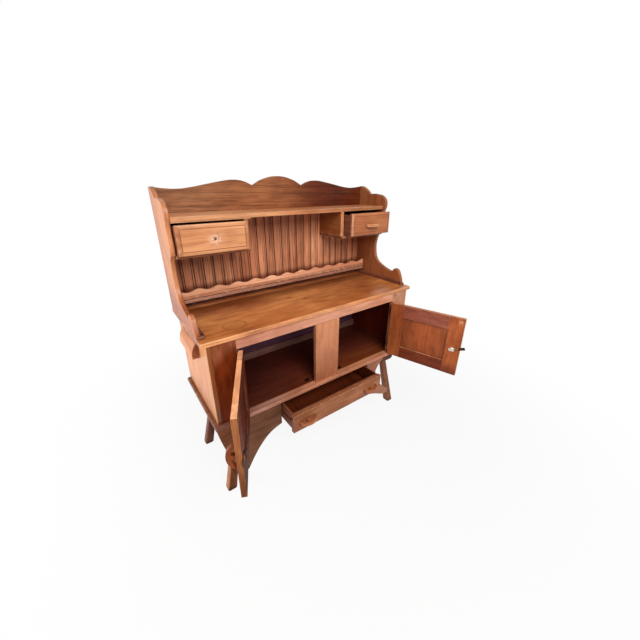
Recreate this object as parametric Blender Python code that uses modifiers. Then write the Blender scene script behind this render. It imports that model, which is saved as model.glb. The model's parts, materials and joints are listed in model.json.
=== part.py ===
"""Bakers cabinet.

A base cupboard on four splayed legs, with two framed doors and a drawer hung under its bottom board,
carries a hutch with a shelf, two small drawers, a beadboard back, a plate rail and a lobed crest.
The doors stand open and the drawers stand part way out. Metres, +Z up, the front faces -Y.

The pieces are laid out from the middle of the worktop's front edge, over the floor. One empty then
moves them all, so that the origin is the bottom centre of the box around the open cabinet.
"""
import math

import bmesh
import bpy
import numpy as np
from mathutils import Matrix

# Clearances
SEAT_GAP = 0.0003
DOOR_GAP = 0.002
DRAWER_GAP = 0.002
POCKET_GAP = 0.0042
RUNNER_PLAY = 0.0012
SPINDLE_CLEARANCE = 0.0006
SCREW_CLEARANCE = 0.0004
TONGUE_GAP = 0.0008

# Worktop, end panels, back and bottom board
WORKTOP_WIDTH = 1.270
WORKTOP_DEPTH = 0.482
WORKTOP_THICKNESS = 0.021
WORKTOP_HEIGHT = 0.864
END_OVERHANG = 0.021
END_PANEL_THICKNESS = 0.020
BASE_BACK_SETBACK = 0.012
BASE_BACK_THICKNESS = 0.010
BATTEN_HEIGHT = 0.043
BATTEN_THICKNESS = 0.018
BASE_FLOOR_HEIGHT = 0.4465
BOTTOM_BOARD_THICKNESS = 0.020
BOTTOM_BOARD_NOSE = 0.017
BOTTOM_BOARD_OVERHANG = 0.018

# Face frame
FRAME_SETBACK = 0.007
FRAME_THICKNESS = 0.0205
OUTER_STILE_WIDTH = 0.103
CENTER_STILE_WIDTH = 0.1522
TOP_RAIL_HEIGHT = 0.0485

# End grips
GRIP_LENGTH = 0.215
GRIP_HEIGHT = 0.076
GRIP_PROJECTION = 0.034
GRIP_DROP = 0.031

# Leg cleats and legs
CLEAT_WIDTH = 0.084
CLEAT_HEIGHT = 0.054
CLEAT_LENGTH = 0.4355
CLEAT_INSET = 0.058
CLEAT_SETBACK = 0.0025
CLEAT_ROUND = 0.018
LEG_TOP_WIDTH = 0.036
LEG_FOOT_WIDTH = 0.047
LEG_EDGE_ROUND = 0.009
LEG_SPLAY_X = 0.077
LEG_SPLAY_Y = 0.025
FRONT_LEG_INSET = 0.0525
REAR_LEG_INSET = 0.061

# Valance wings: each point is its distance outward from the wing's inner end, its drop below the
# bottom board, and whether the outline turns a corner there. The outlines are drawn for the span from
# the drawer bay to the end of the bottom board, and stretch with it
VALANCE_THICKNESS = 0.018
VALANCE_SETBACK = 0.004
WING_DRAWN_SPAN = 0.330
LEFT_WING = (
    (0.326, 0.0, True), (0.301, 0.120, False), (0.262, 0.235, False), (0.232, 0.3162, True),
    (0.201, 0.3157, True), (0.158, 0.245, False), (0.112, 0.188, False), (0.064, 0.149, False),
    (0.0, 0.1262, True),
)
RIGHT_WING = (
    (0.145, 0.0, True), (0.093, 0.054, False), (0.076, 0.101, False), (0.098, 0.158, False),
    (0.148, 0.215, False), (0.187, 0.251, False), (0.217, 0.283, False), (0.196, 0.301, False),
    (0.142, 0.286, False), (0.100, 0.265, False), (0.0, 0.228, True),
)

# Doors, hinges and latches
DOOR_THICKNESS = 0.0205
DOOR_STILE_WIDTH = 0.078
DOOR_TOP_RAIL_WIDTH = 0.078
DOOR_BOTTOM_RAIL_WIDTH = 0.072
DOOR_PANEL_THICKNESS = 0.009
DOOR_PANEL_RECESS = 0.0065
LEFT_DOOR_OPEN = math.radians(115.4)
RIGHT_DOOR_OPEN = math.radians(107.4)
HINGE_RADIUS = 0.0042
HINGE_LENGTH = 0.050
HINGE_INSET = 0.058
LATCH_BACKSET = 0.037
LATCH_HEIGHT = 0.1565
SPINDLE_RADIUS = 0.004
TONGUE_REACH = 0.065
TONGUE_TAIL = 0.020
TONGUE_WIDTH = 0.016
TONGUE_THICKNESS = 0.003
TONGUE_TILT = math.radians(21.0)

# Crescent pulls and door handles
PULL_LENGTH = 0.100
PULL_PROJECTION = 0.034
PULL_WIDTH = 0.018
PULL_BAND = 0.019
PULL_TIP = 0.006
PULL_POST_WIDTH = 0.018
PULL_SPACING = 0.430
PULL_DROP = 0.006
HANDLE_LENGTH = 0.108
HANDLE_PROJECTION = 0.038

# Bottom drawer and its hangers
DRAWER_WIDTH = 0.600
DRAWER_HEIGHT = 0.0993
DRAWER_DROP = 0.0118
DRAWER_FRONT_THICKNESS = 0.020
DRAWER_TRAY_DEPTH = 0.360
DRAWER_TRAY_INSET = 0.008
DRAWER_TRAY_RAISE = 0.0046
DRAWER_WALL = 0.012
DRAWER_FLOOR = 0.008
DRAWER_OUT = 0.113
HANGER_THICKNESS = 0.018
HANGER_HEIGHT = 0.126
HANGER_LENGTH = 0.385
RUNNER_HEIGHT = 0.010
RUNNER_BITE = 0.0055
GROOVE_DEPTH = 0.007

# Hutch sides: each point is its distance from the worktop's front edge, its height above the worktop
# (lower run) or above the shelf (upper run), and whether the outline turns a corner there
HUTCH_INSET = 0.002
HUTCH_SIDE_THICKNESS = 0.020
SIDE_LOWER_RUN = (
    (0.057, 0.0, True), (0.064, 0.0325, False), (0.1075, 0.090, False), (0.141, 0.064, True),
    (0.215, 0.084, False), (0.2775, 0.122, False), (0.297, 0.176, False), (0.295, 0.242, False),
    (0.274, 0.287, False),
)
SIDE_UPPER_RUN = (
    (0.252, -0.150, False), (0.250, -0.040, False), (0.2355, 0.007, False), (0.248, 0.044, False),
    (0.321, 0.068, False), (0.374, 0.066, True), (0.402, 0.090, False), (0.450, 0.112, False),
)
SIDE_BACK_RISE = 0.110

# Hutch back, crest and shelf: a crest point is its distance from the middle, its height above the
# shelf, and whether the outline turns a corner there. The outline stretches with the crest's width
HUTCH_BACK_SETBACK = 0.021
CREST_THICKNESS = 0.018
CREST_DRAWN_HALF = 0.6127
CREST_OUTLINE = (
    (0.150, 0.117, True), (0.195, 0.136, False), (0.248, 0.143, False), (0.318, 0.135, False),
    (0.395, 0.121, False), (0.477, 0.1066, False), (0.523, 0.103, False), (0.5705, 0.105, False),
)
CREST_PEAK = 0.1626
CREST_SHOULDER = (0.0945, 0.145)
CREST_END_RISE = 0.110
BEADBOARD_THICKNESS = 0.010
BEAD_COUNT = 24
BEAD_WIDTH = 0.009
QUIRK_WIDTH = 0.0022
BEAD_DEPTH = 0.003
SHELF_HEIGHT = 0.454
SHELF_THICKNESS = 0.020
SHELF_DEPTH = 0.207

# Plate ledge and rail
LEDGE_HEIGHT = 0.055
LEDGE_THICKNESS = 0.0115
LEDGE_DEPTH = 0.063
RAIL_SETBACK = 0.002
RAIL_THICKNESS = 0.012
RAIL_HEIGHT = 0.0312
SCALLOP_COUNT = 12
SCALLOP_DEPTH = 0.013

# Pockets and small drawers
POCKET_WIDTH = 0.3135
POCKET_HEIGHT = 0.133
POCKET_FLOOR_THICKNESS = 0.016
POCKET_NOSE = 0.009
PARTITION_THICKNESS = 0.0205
PARTITION_SETBACK = 0.001
SMALL_FRONT_HEIGHT = 0.1224
SMALL_FRONT_RAISE = 0.0015
SMALL_FRONT_THICKNESS = 0.0195
SMALL_FRONT_PROUD = 0.004
FIELD_BORDER = 0.0155
FIELD_RISE = 0.005
SMALL_TRAY_DEPTH = 0.185
SMALL_TRAY_INSET = 0.001
SMALL_TRAY_DROP = 0.008
SMALL_WALL = 0.009
SMALL_FLOOR = 0.006
LEFT_SMALL_OUT = 0.045
RIGHT_SMALL_OUT = 0.0625
SCREW_HEAD_RADIUS = 0.0058
SCREW_HEAD_HEIGHT = 0.004
SCREW_SHANK_RADIUS = 0.002

# Mesh fineness
CURVE_STEPS = 5
ARC_STEPS = 6
PULL_STEPS = 16
EDGE_STEPS = 3
TURNED_STEPS = 16
SCALLOP_STEPS = 8
WELD_DISTANCE = 0.00001
FLAT_ANGLE = math.radians(0.2)
SHARP_ANGLE = math.radians(40.0)

# Colours (linear) with roughness and metallic value
HONEY = ((0.330, 0.130, 0.040), 0.42, 0.0)
GOLDEN = ((0.290, 0.105, 0.026), 0.38, 0.0)
PALE = ((0.420, 0.180, 0.064), 0.45, 0.0)
BROWN = ((0.180, 0.062, 0.019), 0.48, 0.0)
RUSSET = ((0.150, 0.036, 0.012), 0.35, 0.0)
WALNUT = ((0.090, 0.035, 0.016), 0.45, 0.0)
SHADE = ((0.075, 0.024, 0.010), 0.55, 0.0)
NICKEL = ((0.640, 0.620, 0.570), 0.28, 1.0)
STEEL = ((0.450, 0.430, 0.400), 0.35, 1.0)

# Places worked out from the dimensions
SIDES = (("left", -1), ("right", 1))
END_OUTER = WORKTOP_WIDTH / 2 - END_OVERHANG
END_INNER = END_OUTER - END_PANEL_THICKNESS
WORKTOP_UNDERSIDE = WORKTOP_HEIGHT - WORKTOP_THICKNESS
BASE_REAR = WORKTOP_DEPTH - BASE_BACK_SETBACK
FRAME_BACK = FRAME_SETBACK + FRAME_THICKNESS
BOTTOM_BOARD_FRONT = FRAME_SETBACK - BOTTOM_BOARD_NOSE
BOTTOM_BOARD_UNDERSIDE = BASE_FLOOR_HEIGHT - BOTTOM_BOARD_THICKNESS
BOTTOM_BOARD_END = END_OUTER + BOTTOM_BOARD_OVERHANG
OPENING_OUTER = END_INNER - OUTER_STILE_WIDTH
OPENING_INNER = CENTER_STILE_WIDTH / 2
OPENING_TOP = WORKTOP_UNDERSIDE - TOP_RAIL_HEIGHT
VALANCE_FRONT = BOTTOM_BOARD_FRONT + VALANCE_SETBACK
VALANCE_BACK = VALANCE_FRONT + VALANCE_THICKNESS
CLEAT_UNDERSIDE = BOTTOM_BOARD_UNDERSIDE - SEAT_GAP - CLEAT_HEIGHT
CLEAT_FRONT = VALANCE_BACK + CLEAT_SETBACK
LEG_LENGTH = CLEAT_UNDERSIDE - SEAT_GAP
DRAWER_BAY = DRAWER_WIDTH / 2 + DRAWER_GAP
DRAWER_TOP = BOTTOM_BOARD_UNDERSIDE - DRAWER_DROP
DRAWER_FRONT_BACK = VALANCE_FRONT + DRAWER_FRONT_THICKNESS
DRAWER_TRAY_HALF = DRAWER_WIDTH / 2 - DRAWER_TRAY_INSET
DRAWER_TRAY_BOTTOM = DRAWER_TOP - DRAWER_HEIGHT + DRAWER_TRAY_RAISE
RUNNER_MIDDLE = (DRAWER_TOP + DRAWER_TRAY_BOTTOM) / 2
DOOR_BOTTOM = BASE_FLOOR_HEIGHT + DOOR_GAP
DOOR_TOP = OPENING_TOP - DOOR_GAP
DOOR_FREE_EDGE = OPENING_OUTER - OPENING_INNER - DOOR_GAP
DOOR_FACE = HINGE_RADIUS + SEAT_GAP
DOOR_BACK = DOOR_FACE + DOOR_THICKNESS
HUTCH_OUTER = WORKTOP_WIDTH / 2 - HUTCH_INSET
HUTCH_INNER = HUTCH_OUTER - HUTCH_SIDE_THICKNESS
HUTCH_BACK_FACE = WORKTOP_DEPTH - HUTCH_BACK_SETBACK
HUTCH_REAR = HUTCH_BACK_FACE + CREST_THICKNESS
SHELF_TOP = WORKTOP_HEIGHT + SHELF_HEIGHT
SHELF_UNDERSIDE = SHELF_TOP - SHELF_THICKNESS
SHELF_FRONT = HUTCH_BACK_FACE - SHELF_DEPTH
BACK_JOINT = SHELF_TOP - SHELF_THICKNESS / 2
POCKET_FLOOR = SHELF_UNDERSIDE - POCKET_HEIGHT
PARTITION_OUTER = HUTCH_INNER - POCKET_WIDTH
PARTITION_INNER = PARTITION_OUTER - PARTITION_THICKNESS
SMALL_FRONT_FACE = SHELF_FRONT - SMALL_FRONT_PROUD
SMALL_FRONT_BACK = SMALL_FRONT_FACE + SMALL_FRONT_THICKNESS
SMALL_FRONT_BOTTOM = POCKET_FLOOR + SMALL_FRONT_RAISE
SMALL_FRONT_TOP = SMALL_FRONT_BOTTOM + SMALL_FRONT_HEIGHT
SMALL_FRONT_INNER = PARTITION_OUTER + POCKET_GAP
SMALL_FRONT_OUTER = HUTCH_INNER - POCKET_GAP

# How each outline plane stands: across the front, along the depth, or flat
FRONT_PLANE = (math.pi / 2, 0.0, 0.0)
DEPTH_PLANE = (math.pi / 2, 0.0, math.pi / 2)


def clear_scene():
    """Remove every object that the file holds."""
    for obj in list(bpy.data.objects):
        bpy.data.objects.remove(obj, do_unlink=True)


def new_collection(name):
    """Make a collection under the scene's own."""
    collection = bpy.data.collections.new(name)
    bpy.context.scene.collection.children.link(collection)
    return collection


def make_material(name, finish):
    """Make one piece's Principled material."""
    colour, roughness, metallic = finish
    material = bpy.data.materials.new(name)
    material.use_nodes = True
    shader = material.node_tree.nodes["Principled BSDF"]
    shader.inputs["Base Color"].default_value = (*colour, 1.0)
    shader.inputs["Roughness"].default_value = roughness
    shader.inputs["Metallic"].default_value = metallic
    material.diffuse_color = (*colour, 1.0)
    return material


class Workshop:
    """Keeps the collections and puts pieces into them."""

    def __init__(self):
        self.parts = new_collection("bakers_cabinet")
        self.cutters = new_collection("cutters")
        self.root = self.empty("cabinet_frame", None)

    def empty(self, name, parent, location=(0.0, 0.0, 0.0), turn=0.0):
        """Add an empty, turned about the vertical."""
        obj = bpy.data.objects.new(name, None)
        obj.location = location
        obj.rotation_euler = (0.0, 0.0, turn)
        obj.parent = parent
        self.parts.objects.link(obj)
        return obj

    def piece(self, name, mesh, finish, location=(0.0, 0.0, 0.0), rotation=(0.0, 0.0, 0.0), parent=None):
        """Add a mesh as a named piece under its parent."""
        obj = bpy.data.objects.new(name, mesh)
        obj.location = location
        obj.rotation_euler = rotation
        obj.parent = parent or self.root
        mesh.materials.append(make_material(name, finish))
        self.parts.objects.link(obj)
        return obj

    def box(self, name, x_span, y_span, z_span, finish, parent=None):
        """Add a board that fills three spans."""
        low = np.minimum((x_span[0], y_span[0], z_span[0]), (x_span[1], y_span[1], z_span[1]))
        high = np.maximum((x_span[0], y_span[0], z_span[0]), (x_span[1], y_span[1], z_span[1]))
        return self.piece(name, box_mesh(name, high - low), finish, (low + high) / 2, parent=parent)

    def cutter(self, name, mesh, location, rotation, target, operation="DIFFERENCE"):
        """Cut a hidden shape from a piece, or join it on."""
        obj = bpy.data.objects.new(name, mesh)
        obj.location = location
        obj.rotation_euler = rotation
        obj.parent = target.parent
        obj.hide_render = True
        obj.display_type = "WIRE"
        self.cutters.objects.link(obj)
        modifier = target.modifiers.new(name, "BOOLEAN")
        modifier.operation = operation
        modifier.solver = "EXACT"
        modifier.object = obj
        return obj


def box_mesh(name, size):
    """Make a box about its own centre."""
    mesh = bpy.data.meshes.new(name)
    bm = bmesh.new()
    bmesh.ops.create_cube(bm, size=1.0, matrix=Matrix.Diagonal((*size, 1.0)))
    bm.to_mesh(mesh)
    bm.free()
    return mesh


def rod_mesh(name, radius, length):
    """Make a round rod along Z about its own centre."""
    mesh = bpy.data.meshes.new(name)
    bm = bmesh.new()
    bmesh.ops.create_cone(bm, cap_ends=True, segments=TURNED_STEPS, radius1=radius, radius2=radius,
                          depth=length)
    bm.to_mesh(mesh)
    bm.free()
    return mesh


def evaluated_mesh(obj):
    """Take an object's evaluated mesh and remove the object."""
    bpy.context.scene.collection.objects.link(obj)
    depsgraph = bpy.context.evaluated_depsgraph_get()
    mesh = bpy.data.meshes.new_from_object(obj.evaluated_get(depsgraph))
    bpy.data.objects.remove(obj, do_unlink=True)
    return mesh


def outline_mesh(name, points, thickness):
    """Make a flat board from an outline in its own XY plane.

    A point is (u, v) on a straight-sided outline, or (u, v, corner) on a curved one.
    """
    curved = len(points[0]) == 3
    curve = bpy.data.curves.new(name, "CURVE")
    curve.dimensions = "2D"
    curve.fill_mode = "BOTH"
    curve.extrude = thickness / 2
    curve.resolution_u = CURVE_STEPS
    spline = curve.splines.new("BEZIER" if curved else "POLY")
    knots = spline.bezier_points if curved else spline.points
    knots.add(len(points) - 1)
    for knot, point in zip(knots, points):
        knot.co = (point[0], point[1], 0.0) if curved else (point[0], point[1], 0.0, 1.0)
        if curved:
            kind = "VECTOR" if point[2] else "AUTO"
            knot.handle_left_type = kind
            knot.handle_right_type = kind
    spline.use_cyclic_u = True
    mesh = evaluated_mesh(bpy.data.objects.new(name, curve))
    bm = bmesh.new()
    bm.from_mesh(mesh)
    bmesh.ops.remove_doubles(bm, verts=bm.verts, dist=WELD_DISTANCE)
    bmesh.ops.dissolve_limit(bm, angle_limit=FLAT_ANGLE, verts=bm.verts, edges=bm.edges)
    bmesh.ops.recalc_face_normals(bm, faces=bm.faces)
    bm.to_mesh(mesh)
    bm.free()
    return mesh


def turned_mesh(name, profile, steps):
    """Turn a profile of (radius, height) points, listed from top to bottom, about Z."""
    mesh = bpy.data.meshes.new(name)
    points = [(radius, 0.0, height) for radius, height in profile]
    mesh.from_pydata(points, [(i, i + 1) for i in range(len(points) - 1)], [])
    obj = bpy.data.objects.new(name, mesh)
    screw = obj.modifiers.new("turn", "SCREW")
    screw.steps = steps
    screw.render_steps = steps
    screw.use_merge_vertices = True
    screw.merge_threshold = WELD_DISTANCE
    turned = evaluated_mesh(obj)
    bm = bmesh.new()
    bm.from_mesh(turned)
    bmesh.ops.recalc_face_normals(bm, faces=bm.faces)
    bm.to_mesh(turned)
    bm.free()
    turned.shade_smooth()
    turned.set_sharp_from_angle(angle=SHARP_ANGLE)
    return turned


def arc(centre, radii, start, end, steps):
    """List points along an elliptical arc, with angles in degrees."""
    angles = [math.radians(start + (end - start) * i / steps) for i in range(steps + 1)]
    return [(centre[0] + radii[0] * math.cos(a), centre[1] + radii[1] * math.sin(a)) for a in angles]


def crescent_mesh(name, length, projection):
    """Make a crescent pull: a bowed bar on two tips and a middle post, with a finger gap either side."""
    half = length / 2
    post = PULL_POST_WIDTH / 2
    inner = (half - PULL_TIP, projection - PULL_BAND)
    post_angle = math.degrees(math.acos(post / inner[0]))
    outline = arc((0.0, 0.0), (half, projection), 0.0, 180.0, PULL_STEPS)
    outline += arc((0.0, 0.0), inner, 180.0, 180.0 - post_angle, PULL_STEPS // 2)
    outline += [(-post, 0.0), (post, 0.0)]
    outline += arc((0.0, 0.0), inner, post_angle, 0.0, PULL_STEPS // 2)
    return outline_mesh(name, outline, PULL_WIDTH)


def build_base(shop):
    """Worktop, end panels, back, bottom board and face frame."""
    half = WORKTOP_WIDTH / 2
    shop.box("worktop", (-half, half), (0.0, WORKTOP_DEPTH), (WORKTOP_UNDERSIDE, WORKTOP_HEIGHT), GOLDEN)
    shop.box("bottom_board", (-BOTTOM_BOARD_END, BOTTOM_BOARD_END), (BOTTOM_BOARD_FRONT, BASE_REAR),
             (BOTTOM_BOARD_UNDERSIDE, BASE_FLOOR_HEIGHT), HONEY)
    low = BASE_FLOOR_HEIGHT + SEAT_GAP
    high = WORKTOP_UNDERSIDE - SEAT_GAP
    frame_depth = (FRAME_SETBACK, FRAME_BACK)
    for name, side in SIDES:
        shop.box(f"{name}_end_panel", (side * END_INNER, side * END_OUTER), (FRAME_SETBACK, BASE_REAR),
                 (low, high), HONEY)
        shop.box(f"{name}_stile", (side * OPENING_OUTER, side * (END_INNER - SEAT_GAP)), frame_depth,
                 (low, high), HONEY)
    rail_half = OPENING_OUTER - SEAT_GAP
    shop.box("top_rail", (-rail_half, rail_half), frame_depth, (OPENING_TOP, high), HONEY)
    shop.box("center_stile", (-OPENING_INNER, OPENING_INNER), frame_depth, (low, OPENING_TOP - SEAT_GAP),
             HONEY)
    front = BASE_REAR - BASE_BACK_THICKNESS
    step = low + BATTEN_HEIGHT
    batten = front - BATTEN_THICKNESS
    outline = [(BASE_REAR, low), (BASE_REAR, high), (front, high),
               (front, step), (batten, step), (batten, low)]
    back = outline_mesh("base_back", outline, 2 * (END_INNER - SEAT_GAP))
    shop.piece("base_back", back, SHADE, rotation=DEPTH_PLANE)


def build_grips(shop):
    """A lifting bar with a flat underside on each end panel."""
    middle = (FRAME_SETBACK + BASE_REAR) / 2
    foot = WORKTOP_UNDERSIDE - GRIP_DROP - GRIP_HEIGHT
    for name, side in SIDES:
        curve = arc((0.0, 0.0), (GRIP_PROJECTION, GRIP_HEIGHT), 0.0, 90.0, ARC_STEPS)
        outline = [(0.0, 0.0)] + curve
        mesh = outline_mesh(f"{name}_end_grip", [(side * u, v) for u, v in outline], GRIP_LENGTH)
        place = (side * (END_OUTER + SEAT_GAP), middle, foot)
        shop.piece(f"{name}_end_grip", mesh, HONEY, place, FRONT_PLANE)


def leg_mesh(name, splay_x, splay_y):
    """Make a square leg with round edges, wider at the foot, which stands out from its top."""
    mesh = bpy.data.meshes.new(name)
    corner = math.sqrt(0.5)
    stand = Matrix.Translation((0.0, 0.0, LEG_LENGTH / 2)) @ Matrix.Rotation(math.pi / 4, 4, "Z")
    bm = bmesh.new()
    bmesh.ops.create_cone(bm, cap_ends=True, segments=4, radius1=LEG_FOOT_WIDTH * corner,
                          radius2=LEG_TOP_WIDTH * corner, depth=LEG_LENGTH, matrix=stand)
    for vert in bm.verts:
        drop = 1.0 - vert.co.z / LEG_LENGTH
        vert.co.x += splay_x * drop
        vert.co.y += splay_y * drop
    upright = [edge for edge in bm.edges if abs(edge.verts[0].co.z - edge.verts[1].co.z) > LEG_LENGTH / 2]
    bmesh.ops.bevel(bm, geom=upright, offset=LEG_EDGE_ROUND, segments=EDGE_STEPS, profile=0.5, affect="EDGES")
    bm.to_mesh(mesh)
    bm.free()
    mesh.shade_smooth()
    mesh.set_sharp_from_angle(angle=SHARP_ANGLE)
    return mesh


def build_legs(shop):
    """Two cleats under the bottom board, with two splayed legs on each."""
    half = CLEAT_WIDTH / 2
    centre = END_OUTER - CLEAT_INSET - half
    inset = half - CLEAT_ROUND
    outline = [(-half, CLEAT_HEIGHT)]
    outline += arc((-inset, CLEAT_ROUND), (CLEAT_ROUND, CLEAT_ROUND), 180.0, 270.0, ARC_STEPS)
    outline += arc((inset, CLEAT_ROUND), (CLEAT_ROUND, CLEAT_ROUND), 270.0, 360.0, ARC_STEPS)
    outline += [(half, CLEAT_HEIGHT)]
    cleat_back = CLEAT_FRONT + CLEAT_LENGTH
    stands = (("front", -1, CLEAT_FRONT + FRONT_LEG_INSET), ("rear", 1, cleat_back - REAR_LEG_INSET))
    for name, side in SIDES:
        mesh = outline_mesh(f"{name}_leg_cleat", outline, CLEAT_LENGTH)
        place = (side * centre, (CLEAT_FRONT + cleat_back) / 2, CLEAT_UNDERSIDE)
        shop.piece(f"{name}_leg_cleat", mesh, WALNUT, place, FRONT_PLANE)
        for end, lean, depth in stands:
            leg = leg_mesh(f"{name}_{end}_leg", side * LEG_SPLAY_X, lean * LEG_SPLAY_Y)
            shop.piece(f"{name}_{end}_leg", leg, WALNUT, (side * centre, depth, 0.0))


def build_valance(shop):
    """A shaped wing either side of the bottom drawer. The right one is cut away beside its leg."""
    top = BOTTOM_BOARD_UNDERSIDE - SEAT_GAP
    middle = (VALANCE_FRONT + VALANCE_BACK) / 2
    stretch = (BOTTOM_BOARD_END - DRAWER_BAY) / WING_DRAWN_SPAN
    for (name, side), wing in zip(SIDES, (LEFT_WING, RIGHT_WING)):
        outline = [(0.0, 0.0, True)] + [(side * stretch * out, -drop, corner) for out, drop, corner in wing]
        mesh = outline_mesh(f"{name}_valance", outline, VALANCE_THICKNESS)
        shop.piece(f"{name}_valance", mesh, HONEY, (side * DRAWER_BAY, middle, top), FRONT_PLANE)


def build_hangers(shop):
    """A hanger beside the bottom drawer on each side, with the tongue that its tray runs on."""
    top = BOTTOM_BOARD_UNDERSIDE - SEAT_GAP
    reach = DRAWER_BAY - (DRAWER_TRAY_HALF - RUNNER_BITE)
    tongue_low = RUNNER_MIDDLE - RUNNER_HEIGHT / 2 - top
    tongue_high = RUNNER_MIDDLE + RUNNER_HEIGHT / 2 - top
    outline = [(0.0, 0.0), (HANGER_THICKNESS, 0.0), (HANGER_THICKNESS, -HANGER_HEIGHT), (0.0, -HANGER_HEIGHT),
               (0.0, tongue_low), (-reach, tongue_low), (-reach, tongue_high), (0.0, tongue_high)]
    front = DRAWER_FRONT_BACK + RUNNER_PLAY
    for name, side in SIDES:
        mesh = outline_mesh(f"{name}_drawer_hanger", [(side * u, v) for u, v in outline], HANGER_LENGTH)
        place = (side * DRAWER_BAY, front + HANGER_LENGTH / 2, top)
        shop.piece(f"{name}_drawer_hanger", mesh, SHADE, place, FRONT_PLANE)


def build_door(shop, name, side, opening):
    """One framed door on its hinge axis, with its latch. Positions run along the door from the axis."""
    axis = shop.empty(f"{name}_door_axis", shop.root,
                      (side * OPENING_OUTER, FRAME_SETBACK - DOOR_FACE, 0.0), side * opening)
    depth = (DOOR_FACE, DOOR_BACK)
    stile_end = DOOR_GAP + DOOR_STILE_WIDTH
    latch_start = DOOR_FREE_EDGE - DOOR_STILE_WIDTH
    rail_span = (-side * (stile_end + SEAT_GAP), -side * (latch_start - SEAT_GAP))
    rail_low = DOOR_BOTTOM + DOOR_BOTTOM_RAIL_WIDTH
    rail_high = DOOR_TOP - DOOR_TOP_RAIL_WIDTH
    shop.box(f"{name}_door_hinge_stile", (-side * DOOR_GAP, -side * stile_end), depth,
             (DOOR_BOTTOM, DOOR_TOP), HONEY, axis)
    latch_stile = shop.box(f"{name}_door_latch_stile", (-side * latch_start, -side * DOOR_FREE_EDGE), depth,
                           (DOOR_BOTTOM, DOOR_TOP), HONEY, axis)
    shop.box(f"{name}_door_top_rail", rail_span, depth, (rail_high, DOOR_TOP), HONEY, axis)
    shop.box(f"{name}_door_bottom_rail", rail_span, depth, (DOOR_BOTTOM, rail_low), HONEY, axis)
    panel_back = DOOR_BACK - DOOR_PANEL_RECESS
    shop.box(f"{name}_door_panel", rail_span, (panel_back - DOOR_PANEL_THICKNESS, panel_back),
             (rail_low + SEAT_GAP, rail_high - SEAT_GAP), RUSSET, axis)
    for level, height in (("lower", DOOR_BOTTOM + HINGE_INSET), ("upper", DOOR_TOP - HINGE_INSET)):
        barrel = rod_mesh(f"{name}_{level}_hinge", HINGE_RADIUS, HINGE_LENGTH)
        shop.piece(f"{name}_{level}_hinge", barrel, STEEL, (0.0, 0.0, height), parent=axis)
    build_latch(shop, name, side, axis, latch_stile)


def build_latch(shop, name, side, door_axis, latch_stile):
    """A turning latch: handle outside, spindle through the stile, tongue inside."""
    pivot = (-side * (DOOR_FREE_EDGE - LATCH_BACKSET), 0.0, DOOR_BOTTOM + LATCH_HEIGHT)
    axis = shop.empty(f"{name}_latch_axis", door_axis, pivot)
    bore = rod_mesh(f"{name}_spindle_bore", SPINDLE_RADIUS + SPINDLE_CLEARANCE, 2 * DOOR_THICKNESS)
    shop.cutter(f"{name}_spindle_bore", bore, (pivot[0], (DOOR_FACE + DOOR_BACK) / 2, pivot[2]), FRONT_PLANE,
                latch_stile)
    handle = crescent_mesh(f"{name}_door_handle", HANDLE_LENGTH, HANDLE_PROJECTION)
    shop.piece(f"{name}_door_handle", handle, HONEY, (0.0, DOOR_FACE - SEAT_GAP, 0.0),
               (math.pi, -math.pi / 2, 0.0), axis)
    length = TONGUE_REACH + TONGUE_TAIL
    strap = box_mesh(f"{name}_latch_tongue", (length, TONGUE_THICKNESS, TONGUE_WIDTH))
    strap.transform(Matrix.Translation((-side * (length / 2 - TONGUE_TAIL), 0.0, 0.0)))
    depth = DOOR_BACK + TONGUE_GAP + TONGUE_THICKNESS / 2
    tongue = shop.piece(f"{name}_latch_tongue", strap, NICKEL, (0.0, depth, 0.0),
                        (0.0, side * TONGUE_TILT, 0.0), axis)
    spindle_length = depth - DOOR_FACE
    spindle = rod_mesh(f"{name}_spindle", SPINDLE_RADIUS, spindle_length)
    shop.cutter(f"{name}_spindle", spindle, (0.0, DOOR_FACE + spindle_length / 2, 0.0), FRONT_PLANE,
                tongue, "UNION")


def build_tray(shop, name, x_span, y_span, z_span, wall, floor, parent, finish):
    """An open drawer tray: two sides, a back, a front wall and a floor in one piece."""
    tray = shop.box(name, x_span, y_span, z_span, finish, parent)
    width = abs(x_span[1] - x_span[0]) - 2 * wall
    depth = abs(y_span[1] - y_span[0]) - 2 * wall
    height = 2 * (z_span[1] - z_span[0] - floor)
    middle = (sum(x_span) / 2, sum(y_span) / 2, z_span[1])
    hollow = box_mesh(f"{name}_hollow", (width, depth, height))
    shop.cutter(f"{name}_hollow", hollow, middle, (0.0, 0.0, 0.0), tray)
    return tray


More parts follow.
